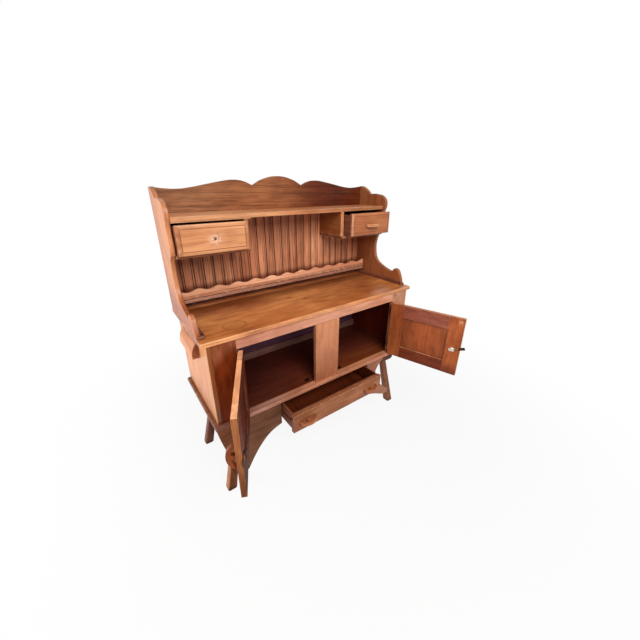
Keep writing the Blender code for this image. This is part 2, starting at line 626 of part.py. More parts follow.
def build_bottom_drawer(shop):
    """The bottom drawer, with a groove along each side for its runner tongue."""
    slide = shop.empty("bottom_drawer_slide", shop.root, (0.0, -DRAWER_OUT, 0.0))
    half = DRAWER_WIDTH / 2
    bottom = DRAWER_TOP - DRAWER_HEIGHT
    shop.box("bottom_drawer_front", (-half, half), (VALANCE_FRONT, DRAWER_FRONT_BACK), (bottom, DRAWER_TOP),
             PALE, slide)
    start = DRAWER_FRONT_BACK + SEAT_GAP
    tray = build_tray(shop, "bottom_drawer_tray", (-DRAWER_TRAY_HALF, DRAWER_TRAY_HALF),
                      (start, start + DRAWER_TRAY_DEPTH), (DRAWER_TRAY_BOTTOM, DRAWER_TOP),
                      DRAWER_WALL, DRAWER_FLOOR, slide, SHADE)
    groove_low = RUNNER_MIDDLE - RUNNER_HEIGHT / 2 - RUNNER_PLAY
    groove_high = RUNNER_MIDDLE + RUNNER_HEIGHT / 2 + SEAT_GAP
    size = (2 * GROOVE_DEPTH, 2 * DRAWER_TRAY_DEPTH, groove_high - groove_low)
    for name, side in SIDES:
        groove = box_mesh(f"{name}_runner_groove", size)
        place = (side * DRAWER_TRAY_HALF, start + DRAWER_TRAY_DEPTH / 2, (groove_low + groove_high) / 2)
        shop.cutter(f"{name}_runner_groove", groove, place, (0.0, 0.0, 0.0), tray)
        pull = crescent_mesh(f"{name}_drawer_pull", PULL_LENGTH, PULL_PROJECTION)
        place = (side * PULL_SPACING / 2, VALANCE_FRONT - SEAT_GAP, (bottom + DRAWER_TOP) / 2 - PULL_DROP)
        shop.piece(f"{name}_drawer_pull", pull, PALE, place, (math.pi, 0.0, 0.0), slide)


def fielded_mesh(name, size):
    """Make a drawer front whose face rises from a sloping border to a flat field, towards -Y."""
    flat = (size[0], size[1] - FIELD_RISE, size[2])
    mesh = box_mesh(name, flat)
    bm = bmesh.new()
    bm.from_mesh(mesh)
    bm.faces.ensure_lookup_table()
    face = min(bm.faces, key=lambda item: item.calc_center_median().y)
    bmesh.ops.inset_region(bm, faces=[face], thickness=FIELD_BORDER, depth=FIELD_RISE)
    bmesh.ops.translate(bm, vec=(0.0, FIELD_RISE / 2, 0.0), verts=bm.verts)
    bm.to_mesh(mesh)
    bm.free()
    return mesh


def build_small_drawer(shop, name, side, travel):
    """One small hutch drawer: fielded front and tray. Gives back its slide and front."""
    slide = shop.empty(f"{name}_small_drawer_slide", shop.root, (0.0, -travel, 0.0))
    size = (SMALL_FRONT_OUTER - SMALL_FRONT_INNER, SMALL_FRONT_THICKNESS, SMALL_FRONT_HEIGHT)
    middle = (side * (SMALL_FRONT_INNER + SMALL_FRONT_OUTER) / 2, (SMALL_FRONT_FACE + SMALL_FRONT_BACK) / 2,
              (SMALL_FRONT_BOTTOM + SMALL_FRONT_TOP) / 2)
    front = shop.piece(f"{name}_small_drawer_front", fielded_mesh(f"{name}_small_drawer_front", size), PALE,
                       middle, parent=slide)
    start = SMALL_FRONT_BACK + SEAT_GAP
    x_span = (side * (SMALL_FRONT_INNER + SMALL_TRAY_INSET), side * (SMALL_FRONT_OUTER - SMALL_TRAY_INSET))
    build_tray(shop, f"{name}_small_drawer_tray", x_span, (start, start + SMALL_TRAY_DEPTH),
               (POCKET_FLOOR + SEAT_GAP, SMALL_FRONT_TOP - SMALL_TRAY_DROP), SMALL_WALL, SMALL_FLOOR,
               slide, SHADE)
    return slide, front


def build_small_drawers(shop):
    """Both small drawers. The right one has its pull, the left one only the screw that held it."""
    middle = (SMALL_FRONT_INNER + SMALL_FRONT_OUTER) / 2
    height = (SMALL_FRONT_BOTTOM + SMALL_FRONT_TOP) / 2
    slide, front = build_small_drawer(shop, "left", -1, LEFT_SMALL_OUT)
    bore = rod_mesh("screw_bore", SCREW_SHANK_RADIUS + SCREW_CLEARANCE, 2 * SMALL_FRONT_THICKNESS)
    shop.cutter("screw_bore", bore, (-middle, SMALL_FRONT_BACK, height), FRONT_PLANE, front)
    profile = arc((0.0, 0.0), (SCREW_HEAD_RADIUS, SCREW_HEAD_HEIGHT), 90.0, 0.0, ARC_STEPS)
    profile += [(SCREW_SHANK_RADIUS, 0.0), (SCREW_SHANK_RADIUS, -SMALL_FRONT_THICKNESS),
                (0.0, -SMALL_FRONT_THICKNESS)]
    screw = turned_mesh("left_pull_screw", profile, TURNED_STEPS)
    shop.piece("left_pull_screw", screw, STEEL, (-middle, SMALL_FRONT_FACE - SEAT_GAP, height), FRONT_PLANE,
               slide)
    slide, _ = build_small_drawer(shop, "right", 1, RIGHT_SMALL_OUT)
    pull = crescent_mesh("right_small_drawer_pull", PULL_LENGTH, PULL_PROJECTION)
    shop.piece("right_small_drawer_pull", pull, PALE,
               (middle, SMALL_FRONT_FACE - SEAT_GAP, height - PULL_DROP), (math.pi, 0.0, 0.0), slide)


def build_hutch(shop):
    """Hutch sides, crest, beadboard and shelf, on the worktop."""
    foot = WORKTOP_HEIGHT + SEAT_GAP
    outline = [(depth, foot + rise, corner) for depth, rise, corner in SIDE_LOWER_RUN]
    outline += [(depth, SHELF_TOP + rise, corner) for depth, rise, corner in SIDE_UPPER_RUN]
    outline += [(HUTCH_REAR, SHELF_TOP + SIDE_BACK_RISE, True), (HUTCH_REAR, foot, True)]
    for name, side in SIDES:
        mesh = outline_mesh(f"{name}_hutch_side", outline, HUTCH_SIDE_THICKNESS)
        place = (side * (HUTCH_INNER + HUTCH_OUTER) / 2, 0.0, 0.0)
        shop.piece(f"{name}_hutch_side", mesh, HONEY, place, DEPTH_PLANE)
    half = HUTCH_INNER - SEAT_GAP
    base = BACK_JOINT + SEAT_GAP
    rise = [(0.0, CREST_PEAK, False), (*CREST_SHOULDER, False), *CREST_OUTLINE,
            (CREST_DRAWN_HALF, CREST_END_RISE, True)]
    stretch = half / CREST_DRAWN_HALF
    right = [(stretch * out, SHELF_TOP + up, corner) for out, up, corner in rise]
    left = [(-out, up, corner) for out, up, corner in reversed(right[1:])]
    outline = [(-half, base, True), *left, *right, (half, base, True)]
    crest = outline_mesh("crest_board", outline, CREST_THICKNESS)
    shop.piece("crest_board", crest, BROWN, (0.0, HUTCH_BACK_FACE + CREST_THICKNESS / 2, 0.0), FRONT_PLANE)
    shop.box("hutch_shelf", (-half, half), (SHELF_FRONT, HUTCH_BACK_FACE - SEAT_GAP),
             (SHELF_UNDERSIDE, SHELF_TOP), HONEY)
    build_beadboard(shop, half, foot)


def build_beadboard(shop, half, foot):
    """A back of tongued boards: a bead between two quirks at each joint, cut into the front."""
    pitch = 2 * half / BEAD_COUNT
    bead = BEAD_WIDTH / 2
    outline = [(half, BEADBOARD_THICKNESS), (-half, BEADBOARD_THICKNESS), (-half, 0.0)]
    for joint in range(1, BEAD_COUNT):
        centre = -half + joint * pitch
        outline += [(centre - bead - QUIRK_WIDTH, 0.0), (centre - bead, BEAD_DEPTH)]
        crown = (bead - QUIRK_WIDTH / 2, -BEAD_DEPTH)
        outline += arc((centre, BEAD_DEPTH), crown, 180.0, 0.0, ARC_STEPS // 2)
        outline += [(centre + bead, BEAD_DEPTH), (centre + bead + QUIRK_WIDTH, 0.0)]
    outline += [(half, 0.0)]
    height = BACK_JOINT - foot
    mesh = outline_mesh("beadboard", outline, height)
    shop.piece("beadboard", mesh, BROWN, (0.0, HUTCH_BACK_FACE, foot + height / 2))


def build_plate_rail(shop):
    """A ledge across the beadboard, with a scalloped rail along its front."""
    half = HUTCH_INNER - SEAT_GAP
    low = WORKTOP_HEIGHT + LEDGE_HEIGHT
    front = HUTCH_BACK_FACE - LEDGE_DEPTH
    shop.box("plate_ledge", (-half, half), (front, HUTCH_BACK_FACE - SEAT_GAP), (low, low + LEDGE_THICKNESS),
             HONEY)
    count = SCALLOP_COUNT * SCALLOP_STEPS
    outline = [(-half, 0.0)]
    for step in range(count + 1):
        wave = math.cos(math.tau * step / SCALLOP_STEPS)
        outline.append((-half + 2 * half * step / count, RAIL_HEIGHT - SCALLOP_DEPTH * (1.0 - wave) / 2))
    outline.append((half, 0.0))
    mesh = outline_mesh("plate_rail", outline, RAIL_THICKNESS)
    place = (0.0, front + RAIL_SETBACK + RAIL_THICKNESS / 2, low + LEDGE_THICKNESS + SEAT_GAP)
    shop.piece("plate_rail", mesh, HONEY, place, FRONT_PLANE)


def build_pockets(shop):
    """A drawer pocket under each end of the shelf: floor with a round nose, and inner partition."""
    back = HUTCH_BACK_FACE - SEAT_GAP
    nose = POCKET_FLOOR_THICKNESS / 2
    front = SHELF_FRONT - POCKET_NOSE
    outer = HUTCH_INNER - SEAT_GAP
    outline = [(back, POCKET_FLOOR_THICKNESS)]
    outline += arc((front + nose, nose), (nose, nose), 90.0, 270.0, 2 * ARC_STEPS)
    outline += [(back, 0.0)]
    for name, side in SIDES:
        mesh = outline_mesh(f"{name}_pocket_floor", outline, outer - PARTITION_INNER)
        place = (side * (outer + PARTITION_INNER) / 2, 0.0, POCKET_FLOOR - POCKET_FLOOR_THICKNESS)
        shop.piece(f"{name}_pocket_floor", mesh, HONEY, place, DEPTH_PLANE)
        shop.box(f"{name}_pocket_partition", (side * PARTITION_INNER, side * PARTITION_OUTER),
                 (SHELF_FRONT + PARTITION_SETBACK, back),
                 (POCKET_FLOOR + SEAT_GAP, SHELF_UNDERSIDE - SEAT_GAP), HONEY)


def centre_over_origin(shop):
    """Move the whole cabinet so that the bottom centre of its box is the origin."""
    depsgraph = bpy.context.evaluated_depsgraph_get()
    corners = []
    for obj in shop.parts.objects:
        if obj.type != "MESH":
            continue
        mesh = obj.evaluated_get(depsgraph).data
        points = np.empty(3 * len(mesh.vertices), dtype=np.float32)
        mesh.vertices.foreach_get("co", points)
        turn = np.array(obj.matrix_world.to_3x3())
        world = points.reshape(-1, 3) @ turn.T + np.array(obj.matrix_world.translation)
        corners += [world.min(axis=0), world.max(axis=0)]
    low = np.min(corners, axis=0)
    high = np.max(corners, axis=0)
    shop.root.location = (-(low[0] + high[0]) / 2, -(low[1] + high[1]) / 2, -low[2])
    bpy.context.view_layer.update()


def main():
    """Build the whole cabinet."""
    clear_scene()
    shop = Workshop()
    build_base(shop)
    build_grips(shop)
    build_legs(shop)
    build_valance(shop)
    build_hangers(shop)
    build_door(shop, "left", -1, LEFT_DOOR_OPEN)
    build_door(shop, "right", 1, RIGHT_DOOR_OPEN)
    build_bottom_drawer(shop)
    build_hutch(shop)
    build_plate_rail(shop)
    build_pockets(shop)
    build_small_drawers(shop)
    centre_over_origin(shop)


main()
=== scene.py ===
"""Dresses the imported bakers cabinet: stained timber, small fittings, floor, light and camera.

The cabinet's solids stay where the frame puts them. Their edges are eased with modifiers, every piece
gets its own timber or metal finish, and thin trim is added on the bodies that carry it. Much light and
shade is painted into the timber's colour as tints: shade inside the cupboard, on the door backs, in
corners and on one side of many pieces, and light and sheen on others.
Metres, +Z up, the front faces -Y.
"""

import json
import logging
import math
from dataclasses import dataclass, field, replace
from enum import Enum
from typing import Callable, Sequence, Union

import bmesh
import bpy
from mathutils import Matrix, Vector


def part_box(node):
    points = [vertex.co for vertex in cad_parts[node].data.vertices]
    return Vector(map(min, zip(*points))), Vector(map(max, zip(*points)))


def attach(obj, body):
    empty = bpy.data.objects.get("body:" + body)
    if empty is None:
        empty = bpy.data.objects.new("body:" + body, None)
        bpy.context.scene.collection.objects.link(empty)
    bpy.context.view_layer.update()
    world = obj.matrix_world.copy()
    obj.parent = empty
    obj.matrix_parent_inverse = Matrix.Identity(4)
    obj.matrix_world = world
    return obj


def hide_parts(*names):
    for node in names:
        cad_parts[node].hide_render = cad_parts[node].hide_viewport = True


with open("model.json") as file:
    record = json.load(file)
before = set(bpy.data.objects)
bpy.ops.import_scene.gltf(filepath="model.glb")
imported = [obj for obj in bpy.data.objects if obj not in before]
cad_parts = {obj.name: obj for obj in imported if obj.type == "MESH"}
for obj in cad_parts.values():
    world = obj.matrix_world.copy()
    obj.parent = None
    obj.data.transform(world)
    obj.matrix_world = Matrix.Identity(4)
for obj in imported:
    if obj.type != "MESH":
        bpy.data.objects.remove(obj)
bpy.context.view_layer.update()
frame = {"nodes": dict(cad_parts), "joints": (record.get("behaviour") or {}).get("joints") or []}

LOG = logging.getLogger("bakers_cabinet")
SIDES = (("left", -1), ("right", 1))
AXIS_X = Vector((1.0, 0.0, 0.0))
AXIS_Y = Vector((0.0, 1.0, 0.0))
AXIS_Z = Vector((0.0, 0.0, 1.0))
SEED_STEP = Vector((0.731, 0.417, 0.293))

Colour = tuple[float, float, float]
Socket = bpy.types.NodeSocket
Value = Union[Socket, float, Sequence[float]]
Feature = Callable[["Graph", Socket, Socket], Socket]


def tone(red: int, green: int, blue: int) -> Colour:
    """Give the linear colour of an 8-bit screen colour.

    Args:
        red: Red from 0 to 255.
        green: Green from 0 to 255.
        blue: Blue from 0 to 255.

    Returns:
        The same colour as linear values from 0 to 1.
    """
    def linear(level: int) -> float:
        """Undo the screen curve for one channel."""
        share = level / 255.0
        return share / 12.92 if share <= 0.04045 else ((share + 0.055) / 1.055) ** 2.4
    return linear(red), linear(green), linear(blue)


class Graph:
    """A hand that lays out shader nodes in one tree."""

    def __init__(self, tree: bpy.types.NodeTree) -> None:
        """Start on a tree."""
        self.tree = tree

    def node(self, kind: str, **settings: object) -> bpy.types.Node:
        """Add a node and set its options by name.

        Args:
            kind: Blender's name of the node.
            **settings: Options by name.

        Returns:
            The node.
        """
        made = self.tree.nodes.new(kind)
        for key, value in settings.items():
            setattr(made, key, value)
        made.location = (170.0 * len(self.tree.nodes), 0.0)
        return made

    def feed(self, socket: Socket, value: Value) -> None:
        """Link a socket to another one, or set its own value.

        Args:
            socket: The socket to feed.
            value: Another socket, or a value.
        """
        if isinstance(value, bpy.types.NodeSocket):
            self.tree.links.new(value, socket)
        elif socket.type == "RGBA":
            socket.default_value = (*value[:3], 1.0)
        else:
            socket.default_value = value

    def math(self, operation: str, *values: Value) -> Socket:
        """Do one sum on numbers.

        Args:
            operation: Blender's name of the sum.
            *values: Sockets or values, in order.

        Returns:
            The result.
        """
        made = self.node("ShaderNodeMath", operation=operation)
        for socket, value in zip(made.inputs, values):
            self.feed(socket, value)
        return made.outputs[0]

    def vector(self, operation: str, *values: Value) -> Socket:
        """Do one sum on vectors, and give the value where the sum is a number.

        Args:
            operation: Blender's name of the sum.
            *values: Sockets or values, in order.

        Returns:
            The result.
        """
        made = self.node("ShaderNodeVectorMath", operation=operation)
        for socket, value in zip(made.inputs, values):
            self.feed(socket, value)
        return made.outputs["Value" if operation in ("DOT_PRODUCT", "LENGTH", "DISTANCE") else "Vector"]

    def split(self, vector: Value) -> tuple[Socket, Socket, Socket]:
        """Give the three parts of a vector."""
        made = self.node("ShaderNodeSeparateXYZ")
        self.feed(made.inputs[0], vector)
        return tuple(made.outputs)

    def join(self, *parts: Value) -> Socket:
        """Make a vector from three numbers.

        Args:
            *parts: Its parts along X, Y and Z.

        Returns:
            The vector.
        """
        made = self.node("ShaderNodeCombineXYZ")
        for socket, value in zip(made.inputs, parts):
            self.feed(socket, value)
        return made.outputs[0]

    def noise(self, vector: Value, stretch: Sequence[float], detail: float = 2.0) -> Socket:
        """Give noise from 0 to 1 with its own fineness along each axis.

        Args:
            vector: The point to read it at.
            stretch: Fineness along each axis.
            detail: How many finer layers the noise has.

        Returns:
            The noise.
        """
        made = self.node("ShaderNodeTexNoise")
        self.feed(made.inputs["Vector"], self.vector("MULTIPLY", vector, stretch))
        made.inputs["Scale"].default_value = 1.0
        made.inputs["Detail"].default_value = detail
        return made.outputs["Fac"]

    def rise(self, value: Value, low: Value, high: Value, top: Value = 1.0) -> Socket:
        """Give a smooth step from 0 to top as the value goes from low to high.

        Args:
            value: The value.
            low: The value where the step starts.
            high: The value where the step ends.
            top: The height of the step.

        Returns:
            The step.
        """
        made = self.node("ShaderNodeMapRange", interpolation_type="SMOOTHSTEP", clamp=True)
        self.fill(made, value=value, from_min=low, from_max=high, to_max=top)
        return made.outputs[0]

    def fall(self, value: Value, low: Value, high: Value) -> Socket:
        """Give a smooth step from 1 to 0 as the value goes from low to high."""
        return self.math("SUBTRACT", 1.0, self.rise(value, low, high))

    def times(self, first: Value, *others: Value) -> Socket:
        """Multiply numbers, one after another."""
        for other in others:
            first = self.math("MULTIPLY", first, other)
        return first

    def mix(self, share: Value, first: Value, second: Value, blend: str = "MIX") -> Socket:
        """Mix two colours.

        Args:
            share: How much of the second colour shows.
            first: The first colour.
            second: The second colour.
            blend: Blender's name of the way to mix.

        Returns:
            The mixed colour.
        """
        made = self.node("ShaderNodeMix", data_type="RGBA", blend_type=blend)
        self.feed(made.inputs[0], share)
        self.feed(made.inputs[6], first)
        self.feed(made.inputs[7], second)
        return made.outputs[2]

    def stain(self, share: Value, colour: Value, tint: Value) -> Socket:
        """Multiply a tint into a share of a colour."""
        return self.mix(share, colour, self.mix(1.0, colour, tint, "MULTIPLY"))

    def model(self, output: str) -> Socket:
        """Give a point's place ("Object") or its face's direction ("Normal") in the model frame."""
        return self.node("ShaderNodeTexCoord").outputs[output]

    def fill(self, node: bpy.types.Node, **values: Value) -> None:
        """Feed a node's inputs by name. A name's underscores stand for spaces."""
        for key, value in values.items():
            self.feed(node.inputs[key.replace("_", " ").title()], value)

    def group(self, effect: "Effect", **values: Value) -> bpy.types.Node:
        """Place a shared effect and feed its inputs by name.

        Args:
            effect: The effect.
            **values: Sockets or values by input name.

        Returns:
            The group's node.
        """
        made = self.node("ShaderNodeGroup", node_tree=effect_tree(effect))
        self.fill(made, **values)
        return made

    def bump(self, shader: bpy.types.Node, height: Value, strength: float, distance: float) -> None:
        """Give a shader relief from a height.

        Args:
            shader: The shader.
            height: The height over the surface.
            strength: How strongly it shows.
            distance: How high it stands, in metres.
        """
        made = self.node("ShaderNodeBump")
        self.fill(made, strength=strength, distance=distance, height=height)
        self.fill(shader, normal=made.outputs[0])


class Effect(Enum):
    """Shared shader effects, each one a node group that is built once."""

    GRAIN = "timber_grain"
    EDGES = "worn_edges"
    SCUFFS = "fine_scuffs"
    SPOT = "round_mark"
    BRUSH = "brushed_metal"


NUMBER = "NodeSocketFloat"
ARROW = "NodeSocketVector"
PAINT = "NodeSocketColor"


def open_group(effect: Effect, inputs: dict[str, str],
               outputs: dict[str, str]) -> tuple[Graph, dict[str, Socket], bpy.types.Node]:
    """Start a node group.

    Args:
        effect: The effect whose name the group takes.
        inputs: Socket kinds by input name.
        outputs: Socket kinds by output name.

    Returns:
        The graph, the input sockets by name, and the output node.
    """
    tree = bpy.data.node_groups.new(effect.value, "ShaderNodeTree")
    for label, kind in inputs.items():
        tree.interface.new_socket(name=label, in_out="INPUT", socket_type=kind)
    for label, kind in outputs.items():
        tree.interface.new_socket(name=label, in_out="OUTPUT", socket_type=kind)
    graph = Graph(tree)
    source = graph.node("NodeGroupInput")
    return graph, {label: source.outputs[label] for label in inputs}, graph.node("NodeGroupOutput")


def build_grain() -> bpy.types.NodeTree:
    """Timber figure on board coordinates: X along the grain, Y across the face, Z through it.

    Returns:
        The group's tree.
    """
    graph, given, sink = open_group(
        Effect.GRAIN,
        {"Vector": ARROW, "Shift": ARROW, "Pith": ARROW, "Ring Gap": NUMBER, "Wander": NUMBER,
         "Figure": NUMBER, "Streak": NUMBER, "Fibre": NUMBER, "Cloud": NUMBER, "Mottle": NUMBER,
         "Pale": PAINT, "Body": PAINT, "Dark": PAINT},
        {"Colour": PAINT, "Relief": NUMBER, "Polish": NUMBER})
    place = graph.vector("ADD", given["Vector"], given["Shift"])
    slow = graph.math("SUBTRACT", graph.noise(place, (1.5, 6.0, 6.0)), 0.5)
    quick = graph.math("SUBTRACT", graph.noise(place, (5.0, 30.0, 30.0)), 0.5)
    sway = graph.times(graph.math("MULTIPLY_ADD", quick, 0.22, slow), given["Wander"])
    _, across, through = graph.split(graph.vector("SUBTRACT", given["Vector"], given["Pith"]))
    across = graph.math("ADD", across, sway)
    radius = graph.vector("LENGTH", graph.join(0.0, across, graph.math("ADD", through, sway)))
    turn = graph.math("DIVIDE", radius, given["Ring Gap"])
    late = graph.math("POWER", graph.math("FRACT", turn), 2.6)
    year = graph.node("ShaderNodeTexWhiteNoise", noise_dimensions="1D")
    graph.feed(year.inputs["W"], graph.math("FLOOR", turn))
    late = graph.times(late, graph.math("MULTIPLY_ADD", year.outputs["Value"], 0.75, 0.25))
    streak = graph.rise(graph.noise(place, (2.0, 95.0, 95.0), 4.0), 0.42, 0.72)
    fibre = graph.rise(graph.noise(place, (9.0, 520.0, 520.0), 3.0), 0.40, 0.78)
    cloud = graph.noise(place, (2.4, 5.5, 5.5), 3.0)
    shade = graph.times(late, given["Figure"])
    shade = graph.math("MULTIPLY_ADD", streak, given["Streak"], shade)
    shade = graph.math("MULTIPLY_ADD", fibre, given["Fibre"], shade)
    share = graph.times(graph.rise(cloud, 0.32, 0.68), given["Cloud"])
    ground = graph.mix(share, given["Body"], given["Pale"])
    colour = graph.mix(graph.math("MINIMUM", shade, 0.92), ground, given["Dark"])
    blotch = graph.rise(graph.noise(place, (9.0, 30.0, 30.0), 4.0), 0.40, 0.66)
    graph.fill(sink, colour=graph.stain(graph.times(blotch, given["Mottle"]), colour, MOTTLE_TINT),
               relief=graph.math("MULTIPLY_ADD", fibre, 0.7, graph.times(late, 0.4)),
               polish=graph.math("MULTIPLY_ADD", fibre, 0.35, graph.times(cloud, 0.65)))
    return graph.tree


def build_edges() -> bpy.types.NodeTree:
    """A mask along the arrises of a board, from its half sizes, broken up by noise.

    Returns:
        The group's tree.
    """
    graph, given, sink = open_group(
        Effect.EDGES, {"Vector": ARROW, "Half": ARROW, "Reach": NUMBER, "Shift": ARROW}, {"Mask": NUMBER})
    inward = graph.vector("SUBTRACT", given["Half"], graph.vector("ABSOLUTE", given["Vector"]))
    first, second, third = graph.split(inward)
    low = graph.math("MINIMUM", first, second)
    high = graph.math("MAXIMUM", first, second)
    edge = graph.math("MAXIMUM", low, graph.math("MINIMUM", high, third))
    place = graph.vector("ADD", given["Vector"], given["Shift"])
    ragged = graph.rise(graph.noise(place, (38.0, 38.0, 38.0), 4.0), 0.36, 0.72)
    reach = graph.times(given["Reach"], graph.math("MULTIPLY_ADD", ragged, 1.9, 0.1))
    band = graph.fall(edge, 0.0, reach)
    graph.fill(sink, mask=graph.times(band, graph.math("MULTIPLY_ADD", ragged, 0.8, 0.2)))
    return graph.tree


def build_scuffs() -> bpy.types.NodeTree:
    """Short scratches and dents from handling, as a mask with its relief.

    Returns:
        The group's tree.
    """
    graph, given, sink = open_group(
        Effect.SCUFFS, {"Vector": ARROW, "Shift": ARROW, "Amount": NUMBER},
        {"Mask": NUMBER, "Relief": NUMBER})
    place = graph.vector("ADD", given["Vector"], given["Shift"])
    along = graph.rise(graph.noise(place, (26.0, 640.0, 640.0), 1.0), 0.69, 0.78)
    skew = graph.node("ShaderNodeMapping")
    graph.feed(skew.inputs["Vector"], place)
    skew.inputs["Rotation"].default_value = (0.35, 0.5, 0.7)
    slant = graph.rise(graph.noise(skew.outputs[0], (30.0, 520.0, 520.0), 1.0), 0.71, 0.79)
    dents = graph.rise(graph.noise(place, (70.0, 90.0, 90.0), 1.0), 0.70, 0.80)
    worn = graph.rise(graph.noise(place, (7.0, 9.0, 9.0), 2.0), 0.42, 0.66)
    lines = graph.times(graph.math("MAXIMUM", along, slant), worn)
    mask = graph.times(graph.math("MAXIMUM", lines, graph.times(dents, 0.6)), given["Amount"])
    graph.fill(sink, mask=mask, relief=graph.times(mask, -1.0))
    return graph.tree


def build_spot() -> bpy.types.NodeTree:
    """A round mark about a place: a soft disc, and a ring round its rim.

    Returns:
        The group's tree.
    """
    graph, given, sink = open_group(
        Effect.SPOT, {"Vector": ARROW, "Place": ARROW, "Radius": NUMBER, "Rim": NUMBER, "Stretch": ARROW},
        {"Disc": NUMBER, "Ring": NUMBER})
    away = graph.vector("SUBTRACT", given["Vector"], given["Place"])
    away = graph.vector("MULTIPLY", away, given["Stretch"])
    wobble = graph.math("SUBTRACT", graph.noise(given["Vector"], (55.0, 55.0, 55.0), 2.0), 0.5)
    sway = graph.times(given["Rim"], 1.2)
    distance = graph.math("MULTIPLY_ADD", wobble, sway, graph.vector("LENGTH", away))
    inside = graph.math("SUBTRACT", given["Radius"], given["Rim"])
    outside = graph.math("ADD", given["Radius"], given["Rim"])
    off = graph.math("ABSOLUTE", graph.math("SUBTRACT", distance, given["Radius"]))
    graph.fill(sink, disc=graph.fall(distance, inside, outside), ring=graph.fall(off, 0.0, given["Rim"]))
    return graph.tree


def build_brush() -> bpy.types.NodeTree:
    """Fine brushing and dull patches on metal.

    Returns:
        The group's tree.
    """
    graph, given, sink = open_group(
        Effect.BRUSH, {"Vector": ARROW, "Bright": PAINT, "Dull": PAINT},
        {"Colour": PAINT, "Relief": NUMBER, "Polish": NUMBER})
    lines = graph.noise(given["Vector"], (60.0, 1800.0, 1800.0), 2.0)
    patch = graph.rise(graph.noise(given["Vector"], (130.0, 160.0, 160.0), 4.0), 0.40, 0.72)
    graph.fill(sink, colour=graph.mix(patch, given["Bright"], given["Dull"]), relief=lines,
               polish=graph.math("MULTIPLY_ADD", patch, 0.7, graph.times(lines, 0.3)))
    return graph.tree


MAKERS: dict[Effect, Callable[[], bpy.types.NodeTree]] = {
    Effect.GRAIN: build_grain,
    Effect.EDGES: build_edges,
    Effect.SCUFFS: build_scuffs,
    Effect.SPOT: build_spot,
    Effect.BRUSH: build_brush,
}


def effect_tree(effect: Effect) -> bpy.types.NodeTree:
    """Give an effect's group, built the first time it is asked for."""
    return bpy.data.node_groups.get(effect.value) or MAKERS[effect]()


@dataclass(frozen=True)
class Board:
    """A piece's own coordinates: its middle, the way its grain runs and the way its face looks."""

    middle: Vector
    half: Vector
    turn: Matrix
    seed: int

    @classmethod
    def of(cls, obj: bpy.types.Object, grain: Vector, face: Vector, seed: int) -> "Board":
        """Measure a piece in the frame of its grain.

        Args:
            obj: The piece, with its place in its vertices or its matrix.
            grain: Direction along the grain.
            face: Direction out of the face.
            seed: Number that sets this piece's own figure.

        Returns:
            The board.
        """
        along = grain.normalized()
        out = (face - along * face.dot(along)).normalized()
        turn = Matrix((along, out.cross(along), out))
        spots = [turn @ vert.co for vert in obj.data.vertices]
        low = Vector([min(spot[i] for spot in spots) for i in range(3)])
        high = Vector([max(spot[i] for spot in spots) for i in range(3)])
        return cls((low + high) / 2, (high - low) / 2, turn, seed)

    def shift(self) -> Vector:
        """Give the shift that sets this board's noise apart from the others."""
        return SEED_STEP * (self.seed + 1)

    def pith(self) -> Vector:
        """Give the middle of this board's year rings, behind its face."""
        return Vector((0.0, 0.5 * self.half.y * math.sin(2.4 * self.seed), -0.045 - 0.02 * (self.seed % 4)))

    def mapping(self, graph: Graph) -> Socket:
        """Lay object coordinates onto the board, about its middle.

        Args:
            graph: The piece's shader graph.

        Returns:
            The point on the board.
        """
        coordinates = graph.node("ShaderNodeTexCoord")
        made = graph.node("ShaderNodeMapping", vector_type="POINT")
        graph.feed(made.inputs["Vector"], coordinates.outputs["Object"])
        made.inputs["Rotation"].default_value = self.turn.to_euler("XYZ")
        made.inputs["Location"].default_value = -self.middle
        return made.outputs[0]

    def local(self, point: Sequence[float]) -> Vector:
        """Give a model point in this board's coordinates."""
        return self.turn @ Vector(point) - self.middle


@dataclass(frozen=True)
class Zone:
    """A part of a piece with its own tint, mostly painted light or shade, fading in along a model direction.
    """

    direction: Vector
    start: float
    end: float
    tint: Colour

    def lay(self, graph: Graph, place: Socket, colour: Socket) -> Socket:
        """Multiply the tint into a colour, from object coordinates."""
        depth = graph.vector("DOT_PRODUCT", place, self.direction)
        return graph.stain(graph.rise(depth, self.start, self.end), colour, self.tint)


def open_material(name: str) -> tuple[bpy.types.Material, Graph, bpy.types.Node]:
    """Start a material, and give it with its graph and its shader.

    Args:
        name: The material's name.

    Returns:
        The material, its graph and its shader.
    """
    made = bpy.data.materials.new(name)
    made.use_nodes = True
    return made, Graph(made.node_tree), made.node_tree.nodes["Principled BSDF"]


